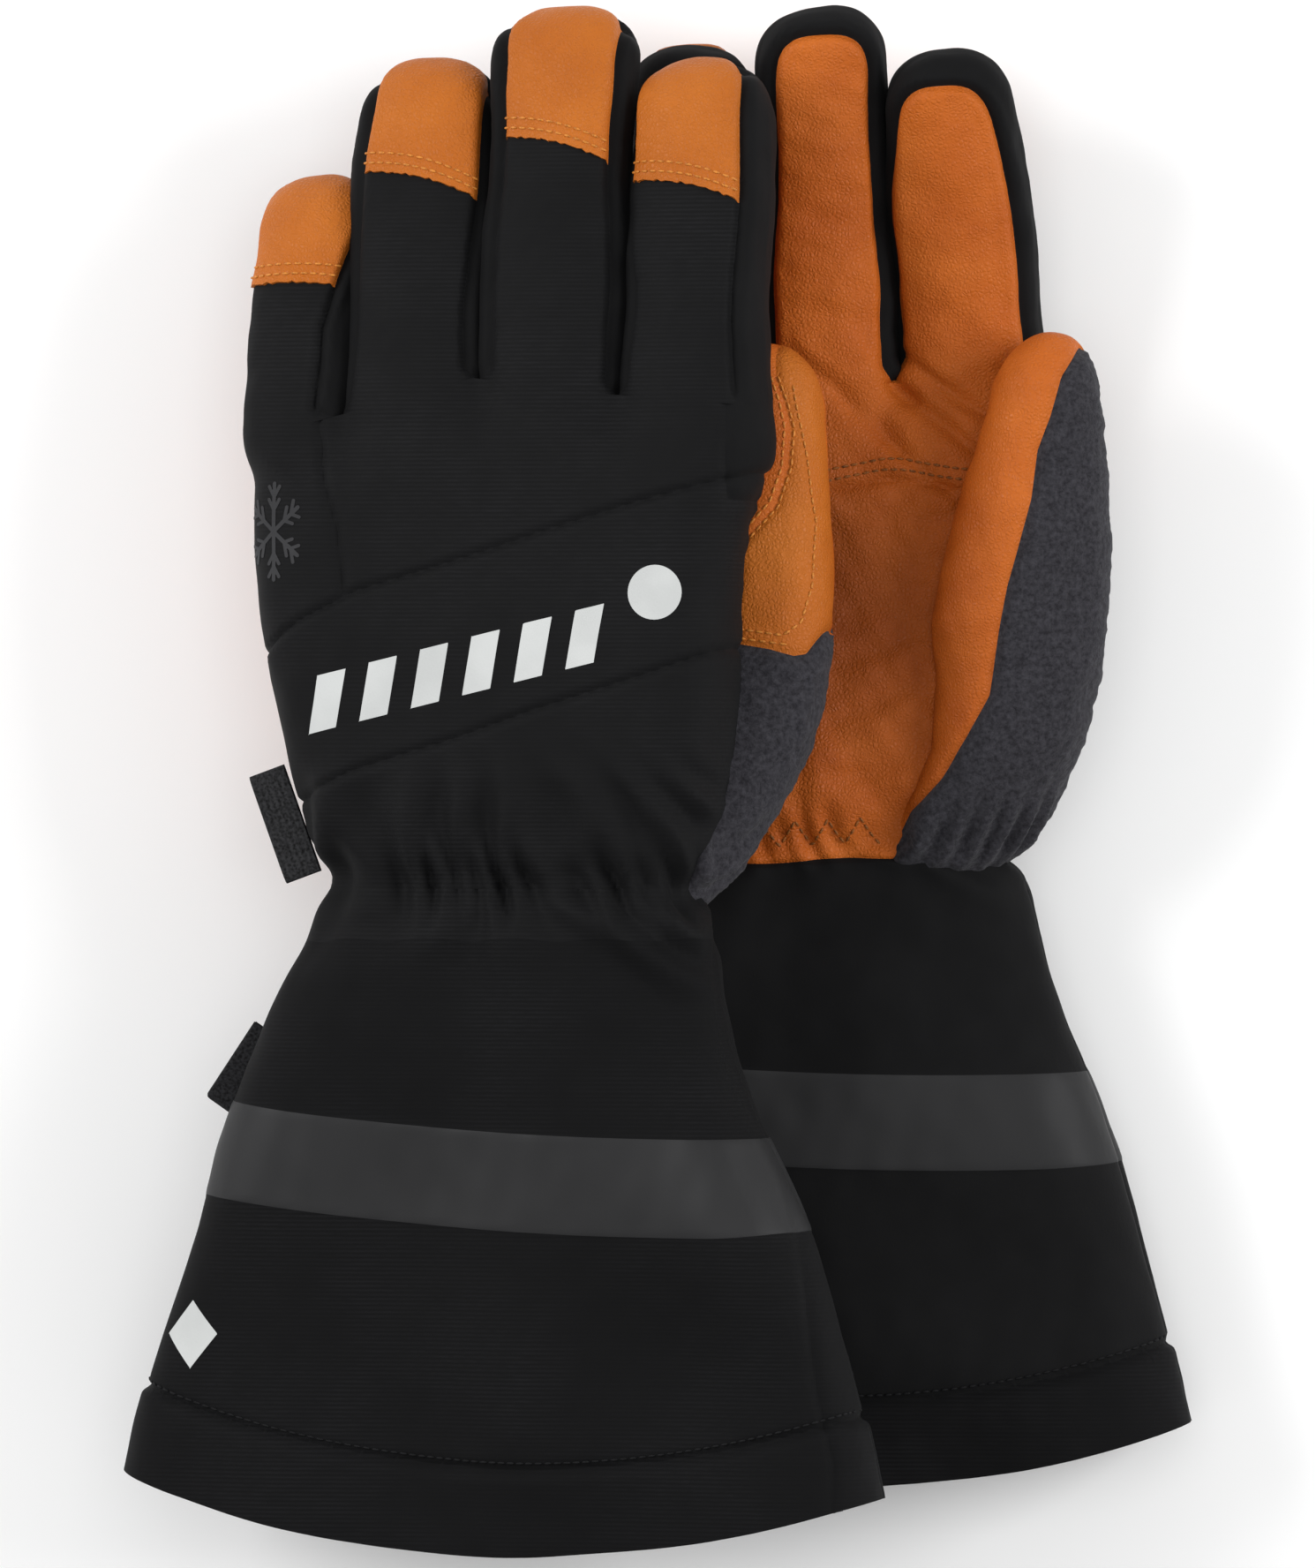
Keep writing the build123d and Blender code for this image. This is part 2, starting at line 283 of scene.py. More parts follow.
@dataclass(frozen=True)
class Fleece(Finish):
    """Brushed polyester fleece: a short matted nap with light tips and dark roots."""

    tuft_mm: float = 1.3

    def dress(self, tree: Tree, shader: Node, place: Socket) -> None:
        """Draws the tufts, light on top, and the matted patches."""
        tufts = add_noise(tree, place, self.tuft_mm, 5.0, Roughness=0.7).outputs["Fac"]
        tree.links.new(self.between(tree, tufts, 0.36, 0.66), shader.inputs["Base Color"])
        add_bump(tree, shader, tufts, 0.9, 0.5)


@dataclass(frozen=True)
class ReflectiveTape(Finish):
    """Glass-bead reflective tape: a flat grey film with a soft, slightly metallic shine."""

    def dress(self, tree: Tree, shader: Node, place: Socket) -> None:
        """Draws the beads' sparkle and the film's soft patches."""
        tree.links.new(self.mottle(tree, place, 35.0, 0.25, 0.75), shader.inputs["Base Color"])
        shader.inputs["Metallic"].default_value = 0.25
        add_bump(tree, shader, add_noise(tree, place, 0.5).outputs["Fac"], 0.25, 0.05)


@dataclass(frozen=True)
class Webbing(Finish):
    """Woven polyester tape: coarse cross ribs, dark between them."""

    def dress(self, tree: Tree, shader: Node, place: Socket) -> None:
        """Draws the tape's own weave over the ribs that its mesh has."""
        weave = add_noise(tree, place, 0.7, 3.0).outputs["Fac"]
        tree.links.new(self.between(tree, weave, 0.35, 0.6), shader.inputs["Base Color"])
        add_bump(tree, shader, weave, 0.6, 0.2)


@dataclass(frozen=True)
class Thread(Finish):
    """Bonded polyester thread: twisted, with a soft shine."""

    def dress(self, tree: Tree, shader: Node, place: Socket) -> None:
        """Draws light and dark along the thread's twist."""
        tree.links.new(self.mottle(tree, place, 0.5, 0.35, 0.6), shader.inputs["Base Color"])


# The orange leather is what the eye goes to first, then the near black cloth, which stays matte beside it.
LEATHER = Goatskin("goatskin_orange", "#bd6a22", "#ad5c1a", 0.42, 0.18)
PALM_LEATHER = Goatskin("goatskin_orange_palm", "#c56823", "#ab5215", 0.42, 0.18)
BACK_CLOTH = RibbedWeave("polyester_ribbed_black", "#1c1c1e", "#0d0d0e", 0.74, 0.12, 0.01)
CUFF_CLOTH = RibbedWeave("polyester_ribbed_cuff", "#19191b", "#0c0c0d", 0.78, 0.1, 0.01)
SIDE_CLOTH = SmoothCloth("softshell_black", "#101011", "#0c0c0d", 0.8, 0.13, 0.01)
FLEECE = Fleece("fleece_charcoal", "#3d3c41", "#242327", 0.95, 0.1, 0.08)
LINING = Fleece("fleece_lining_grey", "#323236", "#161618", 0.95, 0.1, 0.08)
# The band is only a little lighter than the cloth: its beads send light back to its source, not to the eye.
TAPE = ReflectiveTape("reflective_tape_grey", "#2b2b2c", "#262627", 0.55, 0.2)
WEBBING = Webbing("webbing_black", "#222224", "#060607", 0.8, 0.15)
LABEL = Webbing("woven_label_black", "#2c2c2e", "#0a0a0b", 0.75, 0.2)
ORANGE_THREAD = Thread("thread_orange", "#d2832f", "#a1601e", 0.55, 0.4)
BROWN_THREAD = Thread("thread_brown", "#965820", "#5e3715", 0.6, 0.3)
BLACK_THREAD = Thread("thread_black", "#111113", "#050506", 0.7, 0.2)
LIGHT_PRINT = SmoothCloth("screen_print_light_grey", "#c6c8c7", "#bcbebd", 0.6, 0.2)
DARK_PRINT = SmoothCloth("screen_print_dark_grey", "#2f2f31", "#2a2a2c", 0.65, 0.2)


# ---------------------------------------------------------------- fields and skins


def soft_min(a: Array, b: Array, k: float) -> Array:
    """Joins two fields with a fillet of about k millimetres."""
    h = np.clip(0.5 + 0.5 * (b - a) / k, 0, 1)
    return b + (a - b) * h - k * h * (1 - h)


def step(x: Array, low: float, high: float) -> Array:
    """A smooth step from 0 at low to 1 at high."""
    t = np.clip((x - low) / (high - low), 0, 1)
    return t * t * (3 - 2 * t)


def waves(p: Array, size: float, seed: int, count: int = 14) -> Array:
    """A smooth random field made of plane waves.

    Args:
        p: Points, one per row.
        size: The typical wavelength, in millimetres.
        seed: The seed of the waves' directions.
        count: How many waves are added.

    Returns:
        One value for each point, about -1 to 1.
    """
    rng = np.random.default_rng(abs(seed))
    ways = rng.normal(size=(count, 3))
    ways /= np.linalg.norm(ways, axis=1)[:, None]
    ways *= (2 * math.pi / (size * rng.uniform(0.7, 1.5, count)))[:, None]
    phase = rng.uniform(0, 2 * math.pi, count)
    return np.sin(p @ ways.T + phase).sum(1) / math.sqrt(count / 2) * 0.6


def rounded(points: list[tuple[float, float]], rounds: int = 2) -> Array:
    """Cuts the corners off a closed outline, by Chaikin's rule."""
    p = np.array(points, float)
    for _ in range(rounds):
        q = np.roll(p, -1, axis=0)
        p = np.stack([0.75 * p + 0.25 * q, 0.25 * p + 0.75 * q], 1).reshape(-1, 2)
    return p


def outline_distance(x: Array, y: Array, poly: Array) -> Array:
    """The signed distance in the plane to a closed outline, negative inside."""
    best = np.full(np.broadcast(x, y).shape, 1e9)
    inside = np.zeros(best.shape, bool)
    for a, b in zip(poly, np.roll(poly, -1, axis=0)):
        ex, ey = b - a
        t = np.clip(((x - a[0]) * ex + (y - a[1]) * ey) / (ex * ex + ey * ey), 0, 1)
        best = np.minimum(best, (x - a[0] - t * ex) ** 2 + (y - a[1] - t * ey) ** 2)
        crosses = (a[1] > y) != (b[1] > y)
        if abs(ey) > 1e-9:
            inside ^= crosses & (x < a[0] + (y - a[1]) * ex / ey)
    return np.where(inside, -1, 1) * np.sqrt(best)


def line_distance(x: Array, y: Array, path: list[tuple[float, float]]) -> Array:
    """The distance in the plane to an open line of points."""
    best = np.full(np.broadcast(x, y).shape, 1e9)
    for (ax, ay), (bx, by) in zip(path, path[1:]):
        ex, ey = bx - ax, by - ay
        t = np.clip(((x - ax) * ex + (y - ay) * ey) / (ex * ex + ey * ey), 0, 1)
        best = np.minimum(best, np.hypot(x - ax - t * ex, y - ay - t * ey))
    return best


def table(x: Array, pairs: list[tuple[float, float]]) -> Array:
    """Reads a value off a line through pairs, whose first numbers rise."""
    xs, ys = zip(*pairs)
    return np.interp(x, xs, ys)


@dataclass
class Skin:
    """A triangle mesh in the hand frame: each point now, where it was in the field, and its normal."""

    now: Array
    rest: Array
    tris: Array
    normal: Array = field(default_factory=lambda: np.zeros((0, 3)))

    def find_normals(self) -> None:
        """Works out each point's normal from the triangles round it."""
        a, b, c = (self.now[self.tris[:, i]] for i in range(3))
        area = np.cross(b - a, c - a)
        total = np.zeros_like(self.now)
        for i in range(3):
            for axis in range(3):
                total[:, axis] += np.bincount(self.tris[:, i], area[:, axis], len(total))
        self.normal = total / np.maximum(np.linalg.norm(total, axis=1), 1e-9)[:, None]

    def cut(self, values: Array) -> None:
        """Splits the triangles along the line where a value at each point is zero."""
        s = np.where(np.abs(values) < 1e-6, 1e-6, values)
        inside = s > 0
        count = inside[self.tris].sum(1)
        mixed = (count == 1) | (count == 2)
        if not mixed.any():
            return
        tris = self.tris[mixed]
        ins = inside[tris]
        odd = np.where(count[mixed] == 1, ins.argmax(1), ins.argmin(1))
        tris = np.take_along_axis(tris, (odd[:, None] + np.arange(3)) % 3, 1)
        a, b, c = tris.T
        ends = np.concatenate([np.stack([a, b], 1), np.stack([a, c], 1)])
        ends.sort(axis=1)
        key = ends[:, 0].astype(np.int64) * len(s) + ends[:, 1]
        key, index = np.unique(key, return_inverse=True)
        first, second = key // len(s), key % len(s)
        t = (s[first] / (s[first] - s[second]))[:, None]
        added = len(s) + index.reshape(-1)
        ab, ac = added[: len(a)], added[len(a) :]
        for name in ("now", "rest", "normal"):
            old = getattr(self, name)
            if len(old) == len(s):
                setattr(self, name, np.vstack([old, old[first] + t * (old[second] - old[first])]))
        new = [np.stack(v, 1) for v in ((a, ab, ac), (ab, b, c), (ab, c, ac))]
        self.tris = np.vstack([self.tris[~mixed], *new])

    def part(self, keep: Array) -> "Skin":
        """The triangles that keep says, with only their own points."""
        tris = self.tris[keep]
        used, index = np.unique(tris, return_inverse=True)
        return Skin(self.now[used], self.rest[used], index.reshape(-1, 3), self.normal[used])

    def refined(self) -> "Skin":
        """The same skin with each triangle split into four."""
        t = self.tris
        ends = np.sort(np.concatenate([t[:, [0, 1]], t[:, [1, 2]], t[:, [2, 0]]]), axis=1).astype(np.int64)
        key, index = np.unique(ends[:, 0] * len(self.rest) + ends[:, 1], return_inverse=True)
        a, b = key // len(self.rest), key % len(self.rest)
        index = index.reshape(-1) + len(self.rest)
        ab, bc, ca = index[: len(t)], index[len(t) : 2 * len(t)], index[2 * len(t) :]
        tris = np.vstack([
            np.stack(v, 1) for v in ((t[:, 0], ab, ca), (ab, t[:, 1], bc), (ca, bc, t[:, 2]), (ab, bc, ca))
        ])
        now, rest, normal = (np.vstack([v, (v[a] + v[b]) / 2]) for v in (self.now, self.rest, self.normal))
        normal /= np.maximum(np.linalg.norm(normal, axis=1), 1e-9)[:, None]
        return Skin(now, rest, tris, normal)

    def middles(self) -> Array:
        """Each triangle's middle, in the field's own place."""
        return self.rest[self.tris].mean(1)


def surface_net(value: Callable[..., Array], low: tuple, high: tuple, cell: float) -> Skin:
    """Turns a field into a skin where it is zero.

    Args:
        value: The field of x, y and z, negative inside.
        low: The lowest corner of the space to search.
        high: The highest corner.
        cell: The distance between samples. Every skin shares one lattice.

    Returns:
        The skin, with its points moved onto the field's zero.
    """
    lo = np.floor(np.array(low) / cell).astype(int)
    hi = np.ceil(np.array(high) / cell).astype(int)
    axes = [np.arange(lo[i], hi[i] + 1) * cell for i in range(3)]
    grid = value(axes[0][:, None, None], axes[1][None, :, None], axes[2][None, None, :])
    grid = np.ascontiguousarray(np.broadcast_to(grid, [len(a) for a in axes]))
    neg = grid < 0
    shape = np.array(grid.shape) - 1
    total = np.zeros((*shape, 3))
    hits = np.zeros(shape)
    crossings = []
    for axis in range(3):
        a = np.take(grid, range(grid.shape[axis] - 1), axis)
        b = np.take(grid, range(1, grid.shape[axis]), axis)
        na = np.take(neg, range(grid.shape[axis] - 1), axis)
        nb = np.take(neg, range(1, grid.shape[axis]), axis)
        cross = na != nb
        t = np.where(cross, a / np.where(cross, a - b, 1), 0)
        crossings.append((cross, na))
        others = [i for i in range(3) if i != axis]
        for d0 in (0, 1):
            for d1 in (0, 1):
                source = [slice(None)] * 3
                source[others[0]] = slice(d0, grid.shape[others[0]] - 1 + d0)
                source[others[1]] = slice(d1, grid.shape[others[1]] - 1 + d1)
                mask = cross[tuple(source)]
                hits += mask
                total[..., axis] += np.where(mask, t[tuple(source)], 0)
                total[..., others[0]] += mask * d0
                total[..., others[1]] += mask * d1
    used = hits > 0
    number = np.full(shape, -1)
    number[used] = np.arange(used.sum())
    at = np.argwhere(used) + lo + total[used] / hits[used][:, None]
    points = at * cell
    tris = []
    for axis in range(3):
        cross, na = crossings[axis]
        others = [(axis + 1) % 3, (axis + 2) % 3]
        inner = [slice(None)] * 3
        for o in others:
            inner[o] = slice(1, grid.shape[o] - 1)
        where = np.argwhere(cross[tuple(inner)])
        flip = na[tuple(inner)][cross[tuple(inner)]]
        for o in others:
            where[:, o] += 1
        corner = []
        for d0, d1 in ((1, 1), (0, 1), (0, 0), (1, 0)):
            w = where.copy()
            w[:, others[0]] -= d0
            w[:, others[1]] -= d1
            corner.append(number[w[:, 0], w[:, 1], w[:, 2]])
        quad = np.stack(corner, 1)
        quad[~flip] = quad[~flip][:, ::-1]
        tris += [quad[:, [0, 1, 2]], quad[:, [0, 2, 3]]]
    skin = Skin(points, points, np.vstack(tris))
    for _ in range(2):
        p = skin.rest
        f = value(p[:, 0], p[:, 1], p[:, 2])
        slope = np.stack([
            value(*(p[:, k] + PROBE * (i == k) for k in range(3))) - f for i in range(3)
        ], 1) / PROBE
        move = -f[:, None] * slope / np.maximum((slope**2).sum(1), 0.05)[:, None]
        size = np.linalg.norm(move, axis=1)[:, None]
        skin.rest = p + move * np.minimum(1, 0.7 * cell / np.maximum(size, 1e-9))
    skin.now = skin.rest.copy()
    skin.find_normals()
    return skin


# ---------------------------------------------------------------- stitching


@dataclass(frozen=True)
class Stitching:
    """Rows of lockstitch, as a Geometry Nodes tree that lays a thread along lines. Sizes are in metres."""

    pitch: float = 2.3 * MM
    length: float = 1.85 * MM
    radius: float = 0.33 * MM

    def tree(self) -> bpy.types.NodeTree:
        """Makes the node tree, or finds it if it has been made."""
        found = bpy.data.node_groups.get("stitch_rows")
        if found:
            return found
        tree = bpy.data.node_groups.new("stitch_rows", "GeometryNodeTree")
        face = tree.interface
        face.new_socket("Geometry", in_out="INPUT", socket_type="NodeSocketGeometry")
        for name in ("Pitch", "Length", "Radius"):
            face.new_socket(name, in_out="INPUT", socket_type="NodeSocketFloat")
        face.new_socket("Material", in_out="INPUT", socket_type="NodeSocketMaterial")
        face.new_socket("Geometry", in_out="OUTPUT", socket_type="NodeSocketGeometry")
        given = add_node(tree, "NodeGroupInput").outputs
        curve = add_node(tree, "GeometryNodeMeshToCurve", {"Mesh": given["Geometry"]})
        points = add_node(
            tree, "GeometryNodeCurveToPoints", {"Curve": curve.outputs[0], "Length": given["Pitch"]},
            mode="LENGTH",
        )
        half = add_node(tree, "ShaderNodeMath", {0: given["Length"], 1: 0.5}, operation="MULTIPLY")
        size = add_node(
            tree, "ShaderNodeCombineXYZ", {0: given["Radius"], 1: given["Radius"], 2: half.outputs[0]},
        )
        ball = add_node(tree, "GeometryNodeMeshIcoSphere", {"Radius": 1.0, "Subdivisions": 2})
        placed = add_node(
            tree, "GeometryNodeInstanceOnPoints",
            {"Points": points.outputs["Points"], "Instance": ball.outputs["Mesh"],
             "Rotation": points.outputs["Rotation"], "Scale": size.outputs[0]},
        )
        real = add_node(tree, "GeometryNodeRealizeInstances", {"Geometry": placed.outputs[0]})
        smooth = add_node(tree, "GeometryNodeSetShadeSmooth", {"Geometry": real.outputs[0]})
        painted = add_node(
            tree, "GeometryNodeSetMaterial", {"Geometry": smooth.outputs[0], "Material": given["Material"]},
        )
        add_node(tree, "NodeGroupOutput", {"Geometry": painted.outputs[0]})
        return tree

    def sew(self, name: str, rows: list[Array], finish: Finish) -> bpy.types.Object:
        """Sews along rows of points.

        Args:
            name: The piece's name.
            rows: Each row's points in the row frame, in metres.
            finish: The thread.

        Returns:
            One object that holds every stitch.
        """
        mesh = bpy.data.meshes.new(name + "_rows")
        edges, start = [], 0
        for row in rows:
            edges += [(start + i, start + i + 1) for i in range(len(row) - 1)]
            start += len(row)
        mesh.from_pydata(np.vstack(rows).tolist(), edges, [])
        guide = bpy.data.objects.new(name + "_rows", mesh)
        bpy.context.scene.collection.objects.link(guide)
        modifier = guide.modifiers.new("stitches", "NODES")
        tree = self.tree()
        modifier.node_group = tree
        values = {
            "Pitch": self.pitch, "Length": self.length, "Radius": self.radius, "Material": finish.material(),
        }
        for item in tree.interface.items_tree:
            if item.in_out == "INPUT" and item.name in values:
                modifier[item.identifier] = values[item.name]
        made = bpy.data.meshes.new_from_object(guide.evaluated_get(bpy.context.evaluated_depsgraph_get()))
        made.name = name
        bpy.data.objects.remove(guide)
        bpy.data.meshes.remove(mesh)
        obj = bpy.data.objects.new(name, made)
        bpy.context.scene.collection.objects.link(obj)
        return obj


# ---------------------------------------------------------------- the glove's frame and its pieces


@dataclass
class HandFrame:
    """Where one glove's hand frame lies in the row, read from its joints."""

    side: Side
    origin: Array
    axes: Array

    @classmethod
    def read(cls, side: Side) -> "HandFrame":
        """Finds the frame from the wrist's place, a knuckle's axis and the thumb's axis."""
        joints = {j["name"]: j for j in frame["joints"]}
        x = np.array(joints[f"{side.value}_index_knuckle"]["axis"], float)
        up = -np.array(joints[f"{side.value}_thumb_root"]["axis"], float)
        y = np.cross(up, x)
        z = up if side is Side.LEFT else -up
        wrist = np.array(joints[f"{side.value}_wrist"]["pos_m"], float) / MM
        return cls(side, wrist + 3.0 * y, np.stack([x, y, z]))

    def world(self, p: Array) -> Array:
        """Carries points from the hand frame to the row, in metres."""
        return (self.origin + np.asarray(p, float) @ self.axes) * MM

    def turn(self, n: Array) -> Array:
        """Carries directions from the hand frame to the row."""
        return np.asarray(n, float) @ self.axes


def make_object(name: str, points: Array, faces: Array, finish: Finish,
                normals: Array | None = None) -> bpy.types.Object:
    """Makes a mesh object at the origin.

    Args:
        name: The piece's name.
        points: Its points, in metres.
        faces: Its faces, all with the same number of corners.
        finish: What it is made of.
        normals: One normal for each face corner, or None for plain smooth shading.

    Returns:
        The object, linked to the scene.
    """
    mesh = bpy.data.meshes.new(name)
    sides = faces.shape[1]
    mesh.vertices.add(len(points))
    mesh.vertices.foreach_set("co", np.asarray(points, np.float32).ravel())
    mesh.loops.add(faces.size)
    mesh.loops.foreach_set("vertex_index", faces.astype(np.int32).ravel())
    mesh.polygons.add(len(faces))
    mesh.polygons.foreach_set("loop_start", np.arange(0, faces.size, sides, dtype=np.int32))
    mesh.update(calc_edges=True)
    mesh.polygons.foreach_set("use_smooth", np.ones(len(faces), bool))
    if normals is not None:
        mesh.normals_split_custom_set(normals.tolist())
    mesh.materials.append(finish.material())
    obj = bpy.data.objects.new(name, mesh)
    bpy.context.scene.collection.objects.link(obj)
    return obj


def walled(name: str, skin: Skin, place: HandFrame, finish: Finish, wall: float) -> bpy.types.Object:
    """Gives a cut panel its thickness and makes it an object.

    Args:
        name: The piece's name.
        skin: The panel's outer face.
        place: Where the glove lies.
        finish: What the panel is made of.
        wall: The thickness in millimetres, to the inside.

    Returns:
        The object.
    """
    n = len(skin.now)
    edges = np.concatenate([skin.tris[:, [0, 1]], skin.tris[:, [1, 2]], skin.tris[:, [2, 0]]]).astype(np.int64)
    key = edges[:, 0] * n + edges[:, 1]
    rim = edges[~np.isin(key, edges[:, 1] * n + edges[:, 0])]
    a, b = rim.T
    sides = np.vstack([np.stack([b, a, a + n], 1), np.stack([b, a + n, b + n], 1)])
    points = np.vstack([skin.now, skin.now - wall * skin.normal])
    tris = np.vstack([skin.tris, skin.tris[:, ::-1] + n, sides])
    flat = np.cross(points[sides[:, 1]] - points[sides[:, 0]], points[sides[:, 2]] - points[sides[:, 0]])
    flat /= np.maximum(np.linalg.norm(flat, axis=1), 1e-9)[:, None]
    outer = skin.normal[skin.tris].reshape(-1, 3)
    inner = -skin.normal[skin.tris[:, ::-1]].reshape(-1, 3)
    normals = np.vstack([outer, inner, np.repeat(flat, 3, 0)])
    if place.side is Side.RIGHT:
        tris = tris[:, ::-1]
        normals = normals.reshape(-1, 3, 3)[:, ::-1].reshape(-1, 3)
    obj = make_object(name, place.world(points), tris, finish, place.turn(normals))
    if isinstance(finish, Goatskin):
        # painted shade: a soft patch over the cup of the palm, on the palm face only, that the leather's
        # material darkens by
        x, y, z = skin.rest.T
        hollow = 0.5 * np.exp(-(((x - 12) / 28) ** 2) - ((y - 62) / 38) ** 2) * (1 - step(z, -10, -4))
        layer = obj.data.attributes.new("hollow", "FLOAT", "POINT")
        layer.data.foreach_set("value", np.tile(hollow, 2).astype(np.float32))
    return obj


@dataclass(frozen=True)
class Digit:
    """A finger's shape in the hand frame: a rounded tube from the knuckle to the tip."""

    name: str
    x: float
    lean: float
    half_width: float
    half_thick: float
    knuckle: float
    tip: float
    pitch: float
    curl: float
    cap_left: float
    cap_drop: float
    # how far each face's panel stays in from the sides: left low and high, then right low and high
    back_insets: tuple[float, float, float, float] = (3.6, 3.6, 3.6, 3.6)
    front_insets: tuple[float, float, float, float] = (4.0, 4.0, 4.0, 4.0)
    front_short: float = 6.5
    back_short: float = -2.5
    root: float = 12.0  # how far the tube runs into the hand
    taper: float = 0.0  # how much narrower than usual the tip is, as a share

    def middle(self, y: Array) -> tuple[Array, Array]:
        """The tube's middle line: X and Z at each Y."""
        out = np.clip(y - self.knuckle + 6, 0, None)
        span = self.tip - self.knuckle
        z = -math.tan(math.radians(self.pitch)) * out - self.curl * (out / span) ** 2
        return self.x + self.lean * (y - self.knuckle), z

    def widths(self, y: Array) -> tuple[Array, Array]:
        """The tube's half width and half thickness at each Y."""
        along = np.clip((y - self.knuckle) / (self.tip - self.knuckle), -0.3, 1)
        bulge = 1 + 0.03 * np.sin(along * 9 + self.x)
        bulge *= 1 - self.taper * np.clip(along, 0, 1) ** 4
        return self.half_width * bulge * (1.03 - 0.07 * along), self.half_thick * (1.02 - 0.1 * along)

    def field(self, x: Array, y: Array, z: Array) -> Array:
        """The finger's field, negative inside."""
        xc, zc = self.middle(y)
        a, b = self.widths(y)
        blunt = 15.0
        over = np.clip((y - (self.tip - blunt)) / blunt, 0, None)
        under = np.clip((self.knuckle - self.root - y) / 12, 0, None)
        ring = (np.abs(x - xc) / a) ** 2.5 + (np.abs(z - zc) / b) ** 2.5
        return (ring + over**2.5 + under**2.5 + 1e-9) ** 0.4 * 12.5 - 12.5

    def face_edge(self, p: Array, face: Face) -> Array:
        """How far a point is inside the finger's back or front panel, in plan.

        Args:
            p: Points.
            face: The panel's face.

        Returns:
            Millimetres inside the panel's edge, negative outside it.
        """
        xc, zc = self.middle(p[:, 1])
        a, _ = self.widths(p[:, 1])
        back = face is Face.BACK
        insets, short = (self.back_insets, self.back_short) if back else (self.front_insets, self.front_short)
        along = np.clip((p[:, 1] - self.knuckle - 20) / (self.tip - self.knuckle - 30), 0, 1)
        open_by = np.clip((p[:, 1] - table(p[:, 0], SPLIT_Y) + 0.2) / 4.4, 0.01, 1)
        close = np.sqrt(open_by * (2 - open_by))
        left = (insets[0] + (insets[1] - insets[0]) * along) * (1 if self.name == "little" else close)
        right = (insets[2] + (insets[3] - insets[2]) * along) * (1 if self.name == "index" else close)
        half = a - (left + right) / 2
        blunt = 12.0
        over = np.clip((p[:, 1] - (self.tip - short - blunt)) / blunt, 0, None)
        plan = ((np.abs(p[:, 0] - xc - (left - right) / 2) / half) ** 3.0 + over**3.0 + 1e-9) ** (1 / 3.0)
        return np.minimum((1 - plan) * 11.0, face.value * (p[:, 2] - zc))

    def cap_edge(self, p: Array) -> Array:
        """How far a point is beyond the leather cap's cut lower edge, which is ragged."""
        xc, _ = self.middle(p[:, 1])
        ragged = 0.16 * np.sin(p[:, 0] * 2.1 + self.x) + 0.12 * np.sin(p[:, 0] * 3.3)
        return p[:, 1] - self.cap_line(p[:, 0] - xc) - ragged

    def cap_line(self, across: Array) -> Array:
        """The height of the cap's lower edge, level at the little-finger side and falling at the other."""
        s = np.clip((across + self.half_width) / (2 * self.half_width), 0, 1)
        return self.cap_left + 1.2 * np.sin(s * 2.6) - (self.cap_drop + 0.6) * s**2.2


@dataclass
class ThumbShape:
    """The thumb's shape: a tapering tube along a bent line, with the ball of the hand at its root."""

    path: list[tuple[float, float, float, float, float]]  # X, Y, Z, half width and half thickness

    def middle(self, y: Array) -> tuple[Array, Array, Array, Array]:
        """X, Z, half width and half thickness at each Y."""
        ys = [p[1] for p in self.path]
        return tuple(np.interp(y, ys, [p[i] for p in self.path]) for i in (0, 2, 3, 4))

    def field(self, x: Array, y: Array, z: Array) -> Array:
        """The thumb's field, negative inside."""
        xc, zc, a, b = self.middle(y)
        tip, root, blunt = self.path[-1][1], self.path[0][1], 16.0
        over = np.clip((y - (tip - blunt)) / blunt, 0, None) + np.clip((root + 14 - y) / 14, 0, None)
        ring = (np.abs(x - xc) / a) ** 2.2 + (np.abs(z - zc) / b) ** 2.2
        return (ring ** (2.3 / 2.2) + over**2.3 + 1e-9) ** (1 / 2.3) * 13 - 13


LEFT_EDGE = [(-104.7, -175), (-95.8, -147), (-90.3, -122), (-76.4, -78), (-68.2, -55), (-58.6, -33),
             (-50.6, -18), (-47.6, -9.5), (-44.6, -3), (-44, 1), (-46, 5), (-49.5, 10), (-51, 17),
             (-54.5, 33), (-60.3, 58), (-62.4, 85), (-62, 101)]
TOP_EDGE = [(-60, 107), (-44, 107), (-25, 114), (-6.6, 117), (10, 116), (26.6, 114), (50, 114), (62, 112)]
RIGHT_EDGE = [(64, 104), (62.5, 95), (59, 85), (57.8, 67), (57, 40), (54.5, 20), (51, 8), (47.5, 1), (47, -3),
              (50.5, -9), (51.5, -16), (57.4, -38), (63.6, -61), (72, -85), (89, -131), (92, -150), (101, -175)]
HALF_HEIGHTS = [(-176, 15.5), (-140, 17), (-80, 17.3), (-35, 17), (-12, 15.5), (-2, 14.5), (6, 15.5), (25, 18),
                (60, 18.3), (95, 16.5), (118, 13.5), (130, 12)]
BAND_UPPER = [(-60, 54), (-49, 62.3), (-33.6, 70), (-5.7, 78.3), (18.5, 86.2), (38.5, 92.1), (57, 96.6),
              (66, 98.6)]
BAND_LOWER = [(-66, 12), (-48.3, 20.2), (-33.6, 27), (-7.4, 34.9), (9.8, 41), (36, 49.1), (56, 55.7), (66, 59)]
SPLIT_Y = [(-66, 106), (-44, 111.5), (-6.6, 121.5), (26.6, 117.4), (66, 114)]


def band_upper(x: Array) -> Array:
    """The slanting band's upper seam: Y at each X."""
    return table(x, BAND_UPPER)


def band_lower(x: Array) -> Array:
    """The slanting band's lower seam."""
    return table(x, BAND_LOWER)


def tape_top(x: Array) -> Array:
    """The reflective band's top edge."""
    return -60.3 - 0.0625 * x + 0.000594 * x * x


def tape_bottom(x: Array) -> Array:
    """The reflective band's bottom edge."""
    return -84.0 - 0.0629 * x + 0.000647 * x * x


